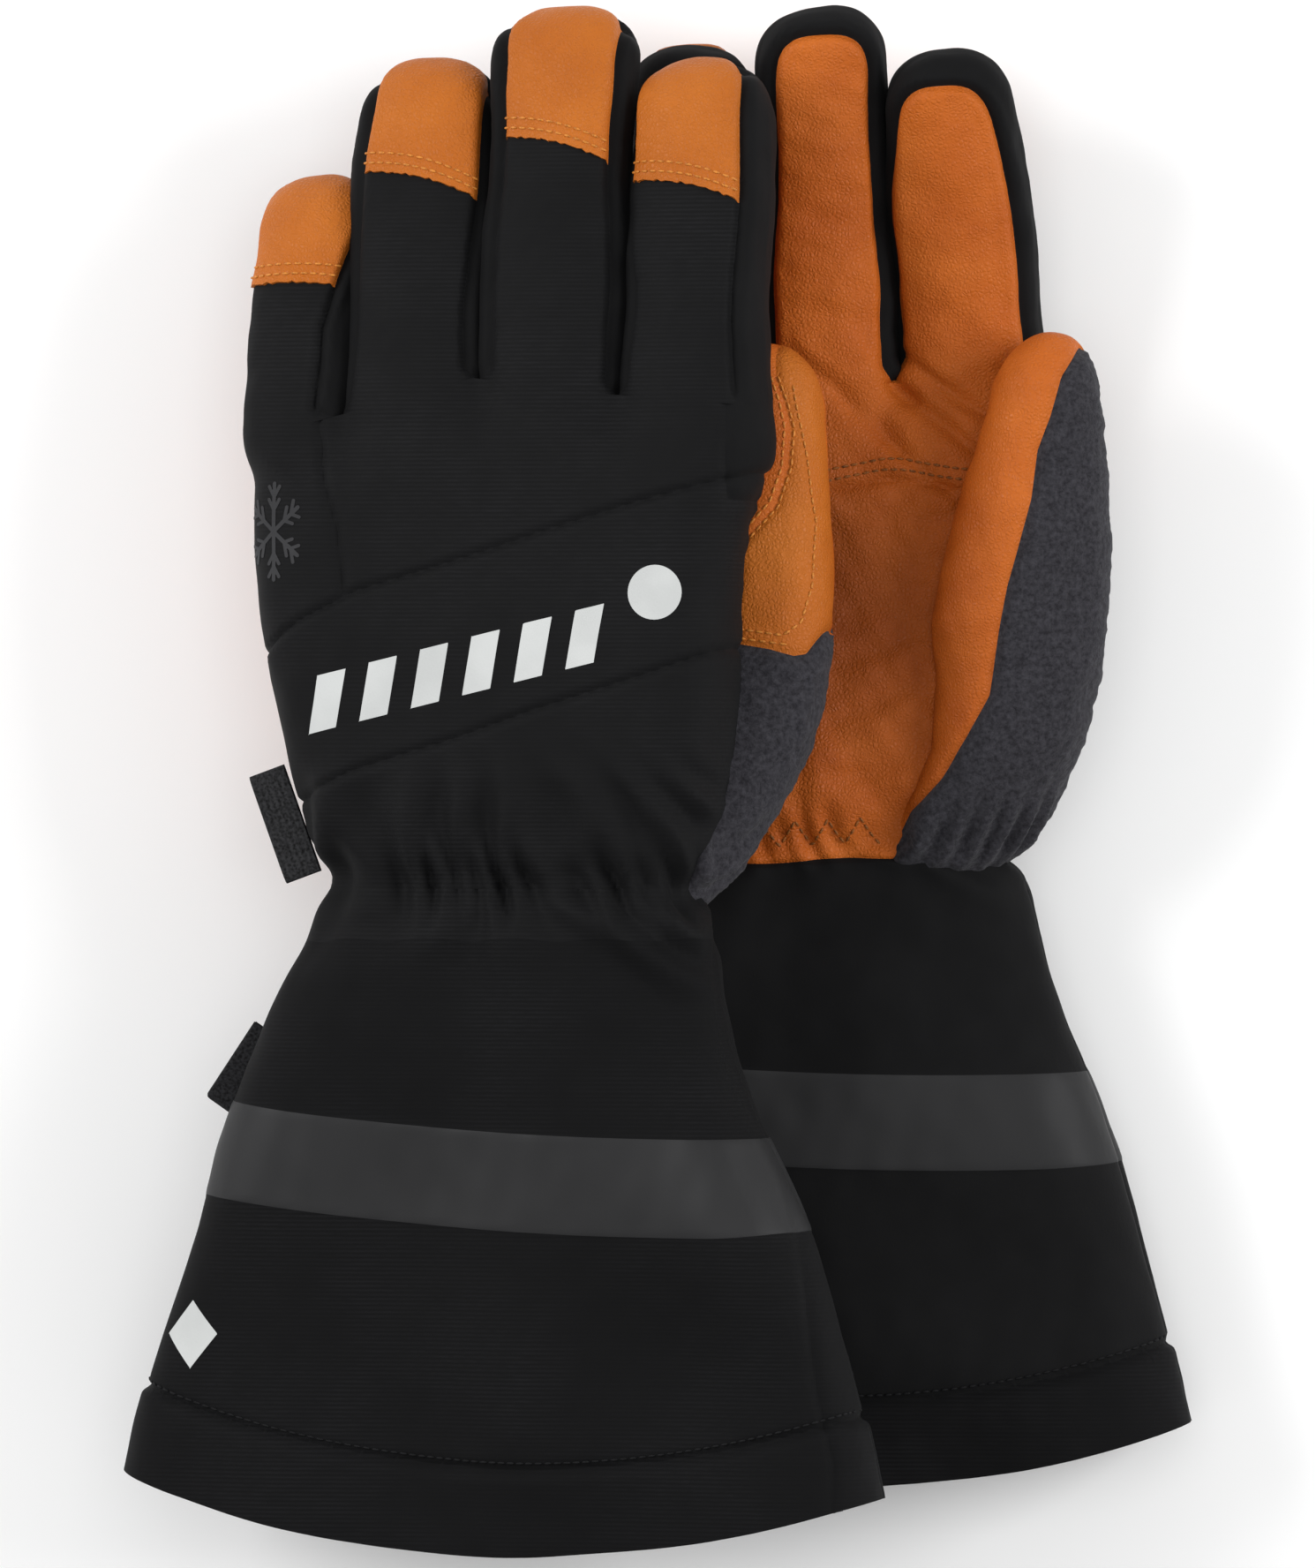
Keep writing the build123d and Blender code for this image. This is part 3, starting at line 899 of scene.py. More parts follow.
def hem_seam(x: Array) -> Array:
    """The seam over the folded hem."""
    return -141.5 + 0.00205 * (x - 8) ** 2


def hem_edge(x: Array) -> Array:
    """The cuff's lower edge."""
    return -162.6 + 0.0019 * (x - 6) ** 2


SIDE_SEAM = [(-140, 84), (-131, 82), (-61, 65), (-14, 51), (0, 49)]
LITTLE_SEAM = [(-36, 60), (-36.5, 70), (-38.3, 85), (-42.3, 99), (-44.5, 112)]
PALM_SEAM = [(-60, 88), (-20, 90.5), (9, 91.6), (24, 93.8), (29, 93.5), (41, 90.7), (60, 88)]
PALM_END = -1.5  # where the palm leather ends and the cuff begins
BACK_END = -14.0  # the back panel runs on through the gathers
WRIST_START = 9.0  # the wrist bends between here and BACK_END


@dataclass
class Glove:
    """One glove: its pattern, the field of its stuffed shape, and the making of every piece."""

    side: Side
    digits: list[Digit]
    thumb: ThumbShape
    cuff_yaw: float = 0.0
    cuff_shift: float = 0.0
    cuff_squash: float = 0.0
    height: float = 1.0
    flare: list[tuple[float, float]] = field(default_factory=lambda: [(-200.0, 0.0), (200.0, 0.0)])
    gathers: float = 1.0
    place: HandFrame = field(init=False)
    pieces: dict[str, bpy.types.Object] = field(default_factory=dict)
    body: Skin = field(init=False)
    skins: dict[str, Skin] = field(default_factory=dict)

    def __post_init__(self) -> None:
        """Finds where the glove lies."""
        self.place = HandFrame.read(self.side)
        right = [(x + float(table(np.array(y), self.flare)), y) for x, y in RIGHT_EDGE]
        self.outline = rounded(LEFT_EDGE + TOP_EDGE + right, 2)

    # ---- the field

    def block(self, x: Array, y: Array, z: Array) -> Array:
        """The hand and cuff together, without the fingers."""
        flat = outline_distance(*np.broadcast_arrays(x, y), self.outline)
        soft = 17.0
        edge = np.clip((flat + soft) / soft, 0, None)
        tall = table(y, HALF_HEIGHTS) * self.height
        crown = np.where(z > 0, 1.0, 0.97)
        q = (edge**2.3 + (np.abs(z) / (tall * crown)) ** 2.3 + 1e-9) ** (1 / 2.3)
        return (q - 1) * soft

    def all_over(self, x: Array, y: Array, z: Array) -> Array:
        """The hand, cuff and fingers."""
        value = self.block(x, y, z)
        for digit in self.digits:
            value = soft_min(value, digit.field(x, y, z), DIGIT_FILLET)
        return value

    # ---- shaping after the skin is made

    def bend(self, p: Array) -> Array:
        """Turns and shifts the cuff to where it lies, with the wrist between."""
        amount = 1 - step(p[:, 1], -16.0, 10.0)
        turn = np.radians(self.cuff_yaw) * amount
        out = p.copy()
        out[:, 0] = p[:, 0] * np.cos(turn) - p[:, 1] * np.sin(turn)
        shift = self.cuff_shift * amount + self.cuff_squash * (1 - step(p[:, 1], -75.0, -8.0))
        out[:, 1] = p[:, 0] * np.sin(turn) + p[:, 1] * np.cos(turn) + shift
        return out

    def folds(self, p: Array) -> Array:
        """How far the cloth of the hand and cuff stands in or out, in millimetres."""
        x, y, z = p.T
        line = y - np.where(z > 0, 0.0, 6.0) + 0.012 * x
        phase = x * 0.74 + 2.4 * np.sin(x * 0.13 + 1) + 0.5 * np.sin(y * 0.21) + 1.7 * np.sin(x * 0.067)
        lean = line * (0.10 + 0.0042 * x) + 0.7 * np.sin(line * 0.16 + x * 0.05)
        depth = 0.7 + 0.3 * np.sin(x * 0.27 + 0.5)
        gather = np.exp(-((line / 9.5) ** 2))
        pleats = gather * depth * (2.3 * np.cos(phase + lean) - 0.4)
        reach = np.exp(-(((np.abs(line) - 13) / 12) ** 2)) * (1 - 0.7 * gather)
        pleats += reach * 1.9 * np.cos(phase * 0.42 + 1.3 * lean + 0.8)
        pleats *= self.gathers * (0.25 + 0.75 * step(np.abs(z), 3, 11))
        wander = line + 1.1 * np.sin(x * 0.19) + 0.8 * np.sin(x * 0.43 + 1)
        pinch = -1.7 * np.exp(-((wander / 5.2) ** 2))
        cuff = 1 - step(y, -30, -10)
        slow = waves(p, 62, 5) * (0.5 + cuff) + waves(p * [1, 0.45, 1], 26, 8) * (0.18 + 0.3 * cuff)
        flutes = 0.9 * cuff * np.cos(x * 0.105 + 0.8 * np.sin(y * 0.02)) * step(-y, 20, 90)
        return pleats + pinch + slow + flutes + waves(p, 9, 3) * 0.1

    def palm_creases(self, p: Array) -> Array:
        """The leather's creases on the palm and the finger fronts."""
        x, y, z = p.T
        palm = 1 - step(z, -7, -2)
        total = np.zeros(len(p))
        for line, deep, wide in PALM_CREASES:
            d = line_distance(x, y, line)
            total -= deep * np.exp(-((d / wide) ** 2))
            total += 0.5 * deep * np.exp(-(((d - 2.2 * wide) / (1.6 * wide)) ** 2))
        leather = step(y, -2, 4)
        total -= 3.6 * np.exp(-(((x - 12) / 19) ** 2) - ((y - 66) / 22) ** 2)
        return palm * leather * (total + 0.28 * waves(p, 8, 21) + 0.55 * waves(p, 24, 22))

    def groove(self, values: Array, mask: Array | float = 1.0, deep: float = 0.75, wide: float = 1.0) -> Array:
        """How far the skin sinks towards a seam where values is zero."""
        return deep * np.exp(-((values / wide) ** 2)) * mask

    def make_body(self) -> None:
        """Makes the hand and cuff's skin, cuts it along its seams and presses the seams in."""
        skin = surface_net(self.all_over, BODY_LOW, BODY_HIGH, BODY_CELL)
        fields = self.body_fields(skin.rest)
        for name in fields:
            skin.cut(self.body_fields(skin.rest)[name])
        f = self.body_fields(skin.rest)
        back = step(f["back"], 0, 1.5)
        hand = step(skin.rest[:, 1], BACK_END - 1, BACK_END)
        cuff = 1 - hand
        down = -skin.rest[:, 1]
        sink = np.zeros(len(down))
        for name, mask, deep, wide in (
            ("back", 1.0, 0.7, 1.1),
            ("band_upper", back * hand, 0.95, 0.9),
            ("band_lower", back * hand, 0.95, 0.9),
            ("little", back * step(f["band_upper"], 0, 1), 0.85, 0.9),
            ("tail", back * step(-down, 88, 92), 0.7, 1.0),
            ("side", back * step(down, 10, 16), 0.8, 1.0),
            ("hem", 1.0, 1.0, 1.2),
            ("palm_end", 1 - back, 0.8, 1.0),
            ("palm_seam", 1 - back, 1.2, 1.1),
        ):
            sink += self.groove(f[name], mask, deep, wide)
        tape = step(f["tape_top"], -0.3, 0.3) * step(f["tape_bottom"], -0.3, 0.3)
        hem = step(-f["hem"], 0.5, 3) * 0.7
        out = self.folds(skin.rest) + self.palm_creases(skin.rest) - sink + 0.3 * tape + hem * cuff
        if self.side is Side.RIGHT:
            out = out - 1.2 * back * step(skin.rest[:, 2], 8, 14)
        skin.now = self.bend(skin.rest + skin.normal * out[:, None])
        skin.find_normals()
        self.body = skin

    def body_fields(self, p: Array) -> dict[str, Array]:
        """Each seam of the hand and cuff, as a value that is zero along it."""
        x, y, z = p.T
        return {
            "split": table(x, SPLIT_Y) - y,
            "hem_edge": y - hem_edge(x),
            "back": z + 3.0 + 5.0 * step(x, 30, 50) * step(y, -8, 4),
            "wrist_back": y - BACK_END - 0.4 * np.sin(x * 0.3),
            "palm_end": y - PALM_END - 0.5 * np.sin(x * 0.2),
            "palm_seam": y - table(x, PALM_SEAM),
            "band_upper": y - band_upper(x),
            "band_lower": y - band_lower(x),
            "little": x - np.interp(y, [q[1] for q in LITTLE_SEAM], [q[0] for q in LITTLE_SEAM]),
            "tail": np.minimum(x - 57.2 - 0.02 * (105 - y), y - 91.5),
            "side": x - table(y, SIDE_SEAM),
            "tape_top": tape_top(x) - y,
            "tape_bottom": y - tape_bottom(x),
            "hem": y - hem_seam(x),
        }

    def body_labels(self) -> Array:
        """Which panel each triangle of the hand and cuff is."""
        f = {k: v > 0 for k, v in self.body_fields(self.body.middles()).items()}
        label = np.full(len(self.body.tris), "cuff_palm", dtype="<U20")
        label[f["back"]] = "cuff_back"
        label[f["back"] & f["side"]] = "cuff_side"
        label[f["tape_top"] & f["tape_bottom"]] = "tape"
        label[~f["hem"]] = "hem"
        palm = ~f["back"] & f["palm_end"]
        label[palm] = "palm_lower"
        label[palm & f["palm_seam"]] = "palm_upper"
        back = f["back"] & f["wrist_back"]
        label[back] = "lower_back"
        label[back & f["band_lower"]] = "band"
        label[back & f["band_upper"]] = "upper_back"
        label[back & f["band_upper"] & ~f["little"]] = "outer_back"
        label[back & f["tail"]] = "tail"
        label[~f["split"] | ~f["hem_edge"]] = "gone"
        return label

    # ---- pieces

    def keep(self, name: str, obj: bpy.types.Object, body: str, *nodes: str,
             slot: str = "") -> bpy.types.Object:
        """Makes a piece ride on one of this glove's bodies and stand for CAD nodes.

        Args:
            name: The piece's name, without its side.
            obj: The piece.
            body: The body, without its side.
            nodes: The CAD nodes, without their side.
            slot: The record's material slot; not used.

        Returns:
            The piece.
        """
        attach(obj, f"{self.side.value}_{body}")
        return self.note(name, obj, *nodes, slot=slot)

    def join(self, name: str, obj: bpy.types.Object, bodies: tuple[str, str], start: Array, end: Array,
             *nodes: str, slot: str = "") -> bpy.types.Object:
        """Bakes a piece's place into its mesh and notes the CAD nodes that it stands for. Start and end are in
        the hand frame.
        """
        tuple(self.place.world(start))
        tuple(self.place.world(end))
        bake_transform(obj)
        return self.note(name, obj, *nodes, slot=slot)

    def note(self, name: str, obj: bpy.types.Object, *nodes: str, slot: str = "") -> bpy.types.Object:
        """Says which CAD nodes a piece stands for, and reports it."""
        real = [f"{self.side.value}_{n}" for n in nodes]
        if real:
            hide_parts(*real)
        self.pieces[name] = obj
        log.info("%s: %d faces, for %s", obj.name, len(obj.data.polygons), real or "no node")
        return obj

    def named(self, name: str) -> str:
        """A piece's full name."""
        return f"{self.side.value}_glove_{name}"

    def wrist(self) -> tuple[tuple[str, str], Array, Array]:
        """The bodies and the two points between which the wrist bends."""
        return ("hand", "cuff"), np.array([0, WRIST_START, 0]), np.array([0, BACK_END, 0])

    def make_panels(self) -> None:
        """Makes the panels of the hand and the cuff."""
        self.make_body()
        label = self.body_labels()
        for name, (finish, slot, nodes) in BODY_PANELS.items():
            skin = self.body.part(label == name)
            self.skins[name] = skin
            wall = TAPE_WALL if name == "tape" else BODY_WALL
            obj = walled(self.named(name), skin, self.place, finish, wall)
            if name in ("lower_back", "palm_lower", "cuff_palm"):
                bodies, start, end = self.wrist()
                self.join(name, obj, bodies, start, end, *nodes, slot=slot)
            else:
                cuff = name in ("cuff_back", "cuff_side", "tape", "hem")
                self.keep(name, obj, "cuff" if cuff else "hand", *nodes, slot=slot)

    def make_lining(self) -> None:
        """Makes the fleece lining, a bag that is open at the hem."""

        def bag(x: Array, y: Array, z: Array) -> Array:
            return self.block(x, y, z) + LINING_INSET

        skin = surface_net(bag, BODY_LOW, BODY_HIGH, LINING_CELL)
        skin.cut(skin.rest[:, 1] - hem_edge(skin.rest[:, 0]) - 0.8)
        middle = skin.middles()
        skin = skin.part(middle[:, 1] > hem_edge(middle[:, 0]) + 0.8)
        pinch = 3.2 * np.exp(-((skin.rest[:, 1] - 2) / 14) ** 2)
        skin.now = self.bend(skin.rest - skin.normal * pinch[:, None])
        skin.find_normals()
        obj = walled(self.named("fleece_lining"), skin, self.place, LINING, FINGER_WALL)
        bodies, start, end = self.wrist()
        self.join("fleece_lining", obj, bodies, start, end, "lining", "wrist_elastic", slot="fleece_lining")

    def make_finger(self, digit: Digit) -> None:
        """Makes one finger's back, cap, front and sidewall."""

        def value(x: Array, y: Array, z: Array) -> Array:
            return soft_min(self.block(x, y, z), digit.field(x, y, z), DIGIT_FILLET)

        reach = digit.half_width + 8
        lean = digit.lean * 90
        low = (digit.x - reach + min(0, lean), digit.knuckle - 14, -48)
        high = (digit.x + reach + max(0, lean), digit.tip + 3, 18)
        skin = surface_net(value, low, high, DIGIT_CELL)

        def fields(p: Array) -> dict[str, Array]:
            return {
                "split": p[:, 1] - table(p[:, 0], SPLIT_Y),
                "back": digit.face_edge(p, Face.BACK),
                "front": digit.face_edge(p, Face.PALM),
                "cap": digit.cap_edge(p),
            }

        for name in ("split", "back", "front", "cap"):
            skin.cut(fields(skin.rest)[name])
        f = fields(skin.rest)
        sink = sum(
            self.groove(f[n], deep=1.35, wide=0.8) - 0.45 * np.exp(-(((f[n] + 2.1) / 1.1) ** 2))
            - 0.25 * np.exp(-(((f[n] - 1.9) / 1.0) ** 2)) for n in ("back", "front")
        )
        out = -sink + 0.35 * waves(skin.rest, 20, int(abs(digit.x))) + 0.1 * waves(skin.rest, 7, 4)
        out += 0.5 * step(f["front"], 0.5, 3) * waves(skin.rest * [0.6, 1, 1], 9, 31 + int(digit.x)) * 0.5
        near = 1 - step(f["split"], 1, 18)
        body_out = self.folds(skin.rest) + self.palm_creases(skin.rest)
        if self.side is Side.RIGHT:
            body_out = body_out - 1.2 * step(skin.rest[:, 2], 8, 14)
        out = out * (1 - near) + near * (body_out - sink * step(f["split"], 0, 4))
        skin.now = self.bend(skin.rest + skin.normal * out[:, None])
        skin.find_normals()
        g = {k: v > 0 for k, v in fields(skin.middles()).items()}
        label = np.full(len(skin.tris), "sidewall", dtype="<U20")
        label[g["front"]] = "front"
        label[g["back"]] = "back"
        label[g["back"] & g["cap"]] = "cap"
        label[~g["split"]] = "gone"
        start = float(table(digit.x + np.array([-16, 0, 16]), SPLIT_Y).max()) + 0.5
        xc, zc = digit.middle(np.array([start, start + 20]))
        line = [np.array([xc[0], start, zc[0]]), np.array([xc[0], start + 20, zc[0]])]
        bodies = ("hand", f"{digit.name}_finger")
        for name, (finish, slot, node) in FINGER_PANELS.items():
            part = skin.part(label == name)
            if name == "cap":
                lift = CAP_LIFT * step(digit.face_edge(part.rest, Face.BACK), 0.0, 2.5)
                part.now = part.now + part.normal * lift[:, None]
            full = f"{digit.name}_{name}"
            self.skins[full] = part
            obj = walled(self.named(full), part, self.place, finish, FINGER_WALL)
            if name == "cap":
                self.keep(full, obj, f"{digit.name}_finger", f"{digit.name}_{node}", slot=slot)
            else:
                self.join(full, obj, bodies, line[0], line[1], f"{digit.name}_{node}", slot=slot)

    def make_thumb(self) -> None:
        """Makes the thumb's leather and fleece."""
        p = self.thumb.path
        skin = surface_net(self.thumb.field, (10, p[0][1] - 4, -40), (86, p[-1][1] + 3, 8), DIGIT_CELL)

        def leather(q: Array) -> Array:
            x, y, z = q.T
            xc, zc, _, _ = self.thumb.middle(y)
            palm = table(y, THUMB_PALM_EDGE) + 1.2 - x
            back = y - table(x, THUMB_BACK_EDGE)
            if self.side is Side.RIGHT:
                back = np.minimum(y - 100.2, 30)
            low = 6.0 * step(y, 55, 61) if self.side is Side.LEFT else 0.0
            mixed = step(z - zc + low - 9 * step(xc - x, 0, 4), -1.5, 1.5)
            return palm * (1 - mixed) + np.minimum(back, 30) * mixed

        def patch(q: Array) -> Array:
            x, y, z = q.T
            _, zc, _, _ = self.thumb.middle(y)
            return np.minimum(x - table(y, THUMB_PATCH_EDGE), z - zc + 1)

        skin.cut(leather(skin.rest))
        skin.cut(patch(skin.rest))
        ball = 1 - step(skin.rest[:, 1], 30, 60)
        sink = self.groove(leather(skin.rest), deep=0.8, wide=1.1)
        over = skin.rest[:, 2] - self.thumb.middle(skin.rest[:, 1])[1]
        sink += self.groove(patch(skin.rest), step(over, 0, 3), 0.6)
        out = 0.5 * waves(skin.rest, 24, 12) + 0.15 * waves(skin.rest, 8, 13) - sink
        gather = np.exp(-((skin.rest[:, 1] - 4) / 9) ** 2)
        out += ball * gather * (1.5 * np.cos(skin.rest[:, 0] * 0.95 + skin.rest[:, 2] * 0.8 + 0.5) - 0.8)
        fleece = step(-leather(skin.rest), 0.5, 2.5)
        out += fleece * (0.16 * waves(skin.rest, 4.2, 17, 24) + 0.5 + 0.12 * waves(skin.rest, 2.6, 18, 24))
        skin.now = self.bend(skin.rest + skin.normal * out[:, None])
        skin.find_normals()
        middle = skin.middles()
        is_leather = leather(middle) > 0
        is_patch = patch(middle) > 0
        line = [np.array([50, 16, -18]), np.array([54, 52, -19])]
        skin_slot, nap_slot = "orange_goatskin", "grey_fleece"
        for name, mask, finish, slot, nodes in (
            ("thumb_leather", is_leather & ~is_patch, PALM_LEATHER, skin_slot, ("thumb_front_leather",)),
            ("thumb_patch", is_leather & is_patch, LEATHER, skin_slot, ()),
            ("thumb_fleece", ~is_leather, FLEECE, nap_slot, ("thumb_back_fleece", "fleece_gusset")),
        ):
            part = skin.part(mask)
            self.skins[name] = part
            obj = walled(self.named(name), part, self.place, finish, BODY_WALL)
            self.join(name, obj, ("hand", "thumb"), line[0], line[1], *nodes, slot=slot)

    # ---- details

    def merged(self, names: list[str]) -> Skin:
        """Several skins as one."""
        skins = [self.skins[n] for n in names]
        starts = np.cumsum([0] + [len(s.now) for s in skins])
        now, rest, normal = (np.vstack([getattr(s, k) for s in skins]) for k in ("now", "rest", "normal"))
        return Skin(now, rest, np.vstack([s.tris + n for s, n in zip(skins, starts)]), normal)

    def on_cloth(self, names: list[str], path: Array, face: Face, spacing: float = 1.0) -> list[Array]:
        """Lays a line on the cloth.

        Args:
            names: The skins that it may lie on.
            path: The line's X and Y in the pattern, before the cuff is turned.
            face: The side that it is on.
            spacing: The distance between the points that are laid.

        Returns:
            The line's points in the row frame, in metres, in unbroken runs.
        """
        skin = self.merged(names)
        tree = BVHTree.FromPolygons(skin.now.tolist(), skin.tris.tolist())
        path = np.asarray(path, float)
        lengths = np.r_[0, np.cumsum(np.linalg.norm(np.diff(path, axis=0), axis=1))]
        at = np.linspace(0, lengths[-1], max(2, int(lengths[-1] / spacing)))
        line = np.stack([np.interp(at, lengths, path[:, i]) for i in (0, 1)] + [np.zeros(len(at))], 1)
        line = self.bend(line)
        runs, run = [], []
        for x, y, _ in line:
            hit, normal, _, _ = tree.ray_cast(Vector((x, y, 90 * face.value)), Vector((0, 0, -face.value)))
            if hit is not None and normal.z * face.value > 0.12:
                run.append(np.array(hit) + THREAD_OVER * np.array(normal))
            elif run:
                runs.append(run)
                run = []
        runs.append(run)
        return [self.place.world(np.array(r)) for r in runs if len(r) > 2]

    def sew(self, name: str, body: str, finish: Finish, rows: list[Array]) -> None:
        """Makes one piece of stitching that rides on one body."""
        if rows:
            self.keep(name, Stitching().sew(self.named(name), rows, finish), body)

    def sew_caps(self) -> None:
        """Sews two rows along the lower edge of each fingertip cap."""
        for digit in self.digits:
            across = np.linspace(0.5 - digit.half_width, digit.half_width - 0.5, 60)
            rows = []
            for over in (2.3, 4.7):
                y = digit.cap_line(across) + over
                xc, _ = digit.middle(y)
                path = np.stack([xc + across, y], 1)
                rows += self.on_cloth([f"{digit.name}_cap"], path, Face.BACK)
            self.sew(f"{digit.name}_cap_stitches", f"{digit.name}_finger", ORANGE_THREAD, rows)

    def sew_hand(self) -> None:
        """Sews the seam across the palm and the zigzag over the wrist elastic."""
        x = np.linspace(-58, 62, 90)
        rows = []
        for over in (2.4, 5.0):
            rows += self.on_cloth(["palm_upper"], np.stack([x, table(x, PALM_SEAM) + over], 1), Face.PALM)
        zig = np.arange(-42, 21, 4.0)
        path = np.stack([zig, 8.2 + 3.4 * (-1.0) ** np.arange(len(zig))], 1)
        rows += self.on_cloth(["palm_lower"], path, Face.PALM, 0.7)
        self.sew("palm_stitches", "hand", BROWN_THREAD, rows)

    def sew_cuff(self) -> None:
        """Sews the hem, on both faces."""
        x = np.linspace(-101, 101, 200)
        rows = []
        for face in Face:
            rows += self.on_cloth(["hem", "cuff_back", "cuff_side", "cuff_palm"],
                                  np.stack([x, hem_seam(x) + 1.6], 1), face)
        self.sew("hem_stitches", "cuff", BLACK_THREAD, rows)

    def sew_thumb(self) -> None:
        """Sews the thumb's leather down on its back."""
        rows = []
        for path in THUMB_ROWS:
            rows += self.on_cloth(["thumb_patch", "thumb_leather"], path, Face.BACK)
        self.sew("thumb_stitches", "thumb", ORANGE_THREAD, rows)

    def show_print(self, name: str, panels: list[str], shapes: list[Array | tuple], body: str,
                   finish: Finish) -> None:
        """Prints plain shapes on a panel.

        Args:
            name: The piece's name.
            panels: The skins that are printed on.
            shapes: Outlines, or lines given as (path, half width).
            body: The body that the print rides on.
            finish: The ink.
        """

        def ink(p: Array) -> Array:
            best = np.full(len(p), -1e9)
            for shape in shapes:
                if isinstance(shape, tuple):
                    best = np.maximum(best, shape[1] - line_distance(p[:, 0], p[:, 1], shape[0]))
                else:
                    best = np.maximum(best, -outline_distance(p[:, 0], p[:, 1], shape))
            return best

        skin = self.merged(panels)
        skin = skin.part((ink(skin.middles()) > -3.0) & (skin.normal[skin.tris[:, 0], 2] > 0))
        skin = skin.refined()
        skin = skin.part(ink(skin.middles()) > -1.2).refined()
        skin.cut(ink(skin.rest))
        skin = skin.part(ink(skin.middles()) > 0)
        skin.now = skin.now + PRINT_OVER * skin.normal
        self.keep(name, walled(self.named(name), skin, self.place, finish, PRINT_WALL), body)

    def tape_strip(self, name: str, centre: tuple[float, float, float], lean: float,
                   size: tuple[float, float], thick: float, rib: float, finish: Finish) -> bpy.types.Object:
        """A short woven tape folded in two, that lies in the glove's plane with its fold away from the seam.

        Args:
            name: The piece's name.
            centre: Its middle in the hand frame.
            lean: Its length's turn from Y, clockwise, in degrees.
            size: Width, and length as folded.
            thick: One layer's thickness.
            rib: The spacing of the cross ribs.
            finish: What it is made of.

        Returns:
            The object.
        """
        width, length = size
        gap = 0.62 * thick
        straight = length - gap - thick / 2
        n, m = int(length / 0.16), int(width / 0.4)
        s = np.linspace(0, 2 * straight + math.pi * gap, n)
        turned = np.clip((s - straight) / gap, 0, math.pi)
        back = np.clip(s - straight - math.pi * gap, 0, None)
        u = length / 2 - np.minimum(s, straight) - gap * np.sin(turned) + back
        z = gap * np.cos(turned)
        out = np.stack([-np.sin(turned), np.cos(turned)], 1)
        ring = []
        for face in (1, -1):
            v = np.linspace(-width / 2, width / 2, m)[::face]
            edge = np.clip(1 - (2 * np.abs(v) / width) ** 10, 0, 1) ** 0.5
            ring += [(a, face * b) for a, b in zip(v, edge)]
        ring = np.array(ring)
        k = len(ring)
        end = (np.clip(1 - np.abs(2 * s / s[-1] - 1) ** 40, 0, 1) ** 0.5)[:, None]
        high = ring[:, 1] * (thick / 2 + 0.14 * np.cos(2 * math.pi * s / rib)[:, None]) * end
        grid = np.zeros((n, k, 3))
        grid[:, :, 0] = ring[:, 0]
        grid[:, :, 1] = u[:, None] + out[:, :1] * high
        grid[:, :, 2] = z[:, None] + out[:, 1:] * high
        a = math.radians(lean)
        turn = np.array([[math.cos(a), -math.sin(a), 0], [math.sin(a), math.cos(a), 0], [0, 0, 1]])
        points = grid.reshape(-1, 3) @ turn + np.array(centre)
        i, j = np.meshgrid(np.arange(n - 1), np.arange(k), indexing="ij")
        j2 = (j + 1) % k
        quads = np.stack([i * k + j, i * k + j2, (i + 1) * k + j2, (i + 1) * k + j], -1).reshape(-1, 4)
        j = np.arange(m - 1)
        cap = np.stack([j, k - 1 - j, k - 2 - j, j + 1], 1)
        quads = np.vstack([quads, cap, cap[:, ::-1] + (n - 1) * k])
        return make_object(self.named(name), self.place.world(points), quads, finish)


THUMB_ROWS: list[list[tuple[float, float]]] = [
    [(64.6, 121.3), (66.7, 116), (68.3, 109.6), (67.9, 100), (65, 90.4), (61.3, 86.2), (57.4, 81.9)],
    [(62.9, 121.3), (64.9, 116), (66.2, 109.6), (65.7, 100), (63, 91.6), (59.6, 87.6), (55.8, 83.6)],
    [(67.9, 119.1), (71.1, 103.2), (73.2, 87.2), (72.8, 71.3), (70.6, 62.6), (66.5, 59.4), (54, 61.2)],
    [(66.5, 57.3), (60, 58.2), (54, 59)],
]

PALM_CREASES: list[tuple[list[tuple[float, float]], float, float]] = [
    ([(27, 117), (40, 106), (55, 92)], 1.1, 1.6),
    ([(30, 124), (44, 112), (58, 104)], 0.9, 1.5),
    ([(36, 150), (48, 141), (60, 136)], 0.8, 1.8),
    ([(24, 108), (30, 99), (44, 86)], 0.9, 1.6),
    ([(2, 128), (14, 116), (28, 100)], 0.7, 2.0),
    ([(10, 148), (20, 134), (24, 122)], 0.6, 1.8),
    ([(60, 86), (44, 85), (33, 82)], 0.9, 2.0),
    ([(34, 60), (22, 52), (10, 50)], 0.6, 2.0),
    ([(30, 44), (18, 38), (4, 34)], 0.6, 2.2),
    ([(30, 28), (16, 22), (0, 22)], 0.6, 2.2),
]

THUMB_PALM_EDGE = [(-8, 12), (-0.7, 17.5), (3.5, 18.5), (12.7, 24.8), (19.8, 32.6), (30, 39.5), (39.4, 45.3),
                   (55, 48.4), (65.7, 51), (73, 53.5), (86.7, 58), (98.3, 60.1), (106.6, 63.8), (116, 67),
                   (124, 73), (130, 90)]
THUMB_BACK_EDGE = [(50, 58), (55.6, 57.4), (63.3, 56.2), (69.4, 54.5), (72.2, 54.9), (75, 59), (78, 64),
                   (82, 74)]
THUMB_PATCH_EDGE = [(76, 52), (81.9, 57), (86.2, 60.9), (90.4, 64.6), (100, 67.5), (109.6, 67.9), (116, 66.3),
                    (121.3, 64.2), (130, 63)]

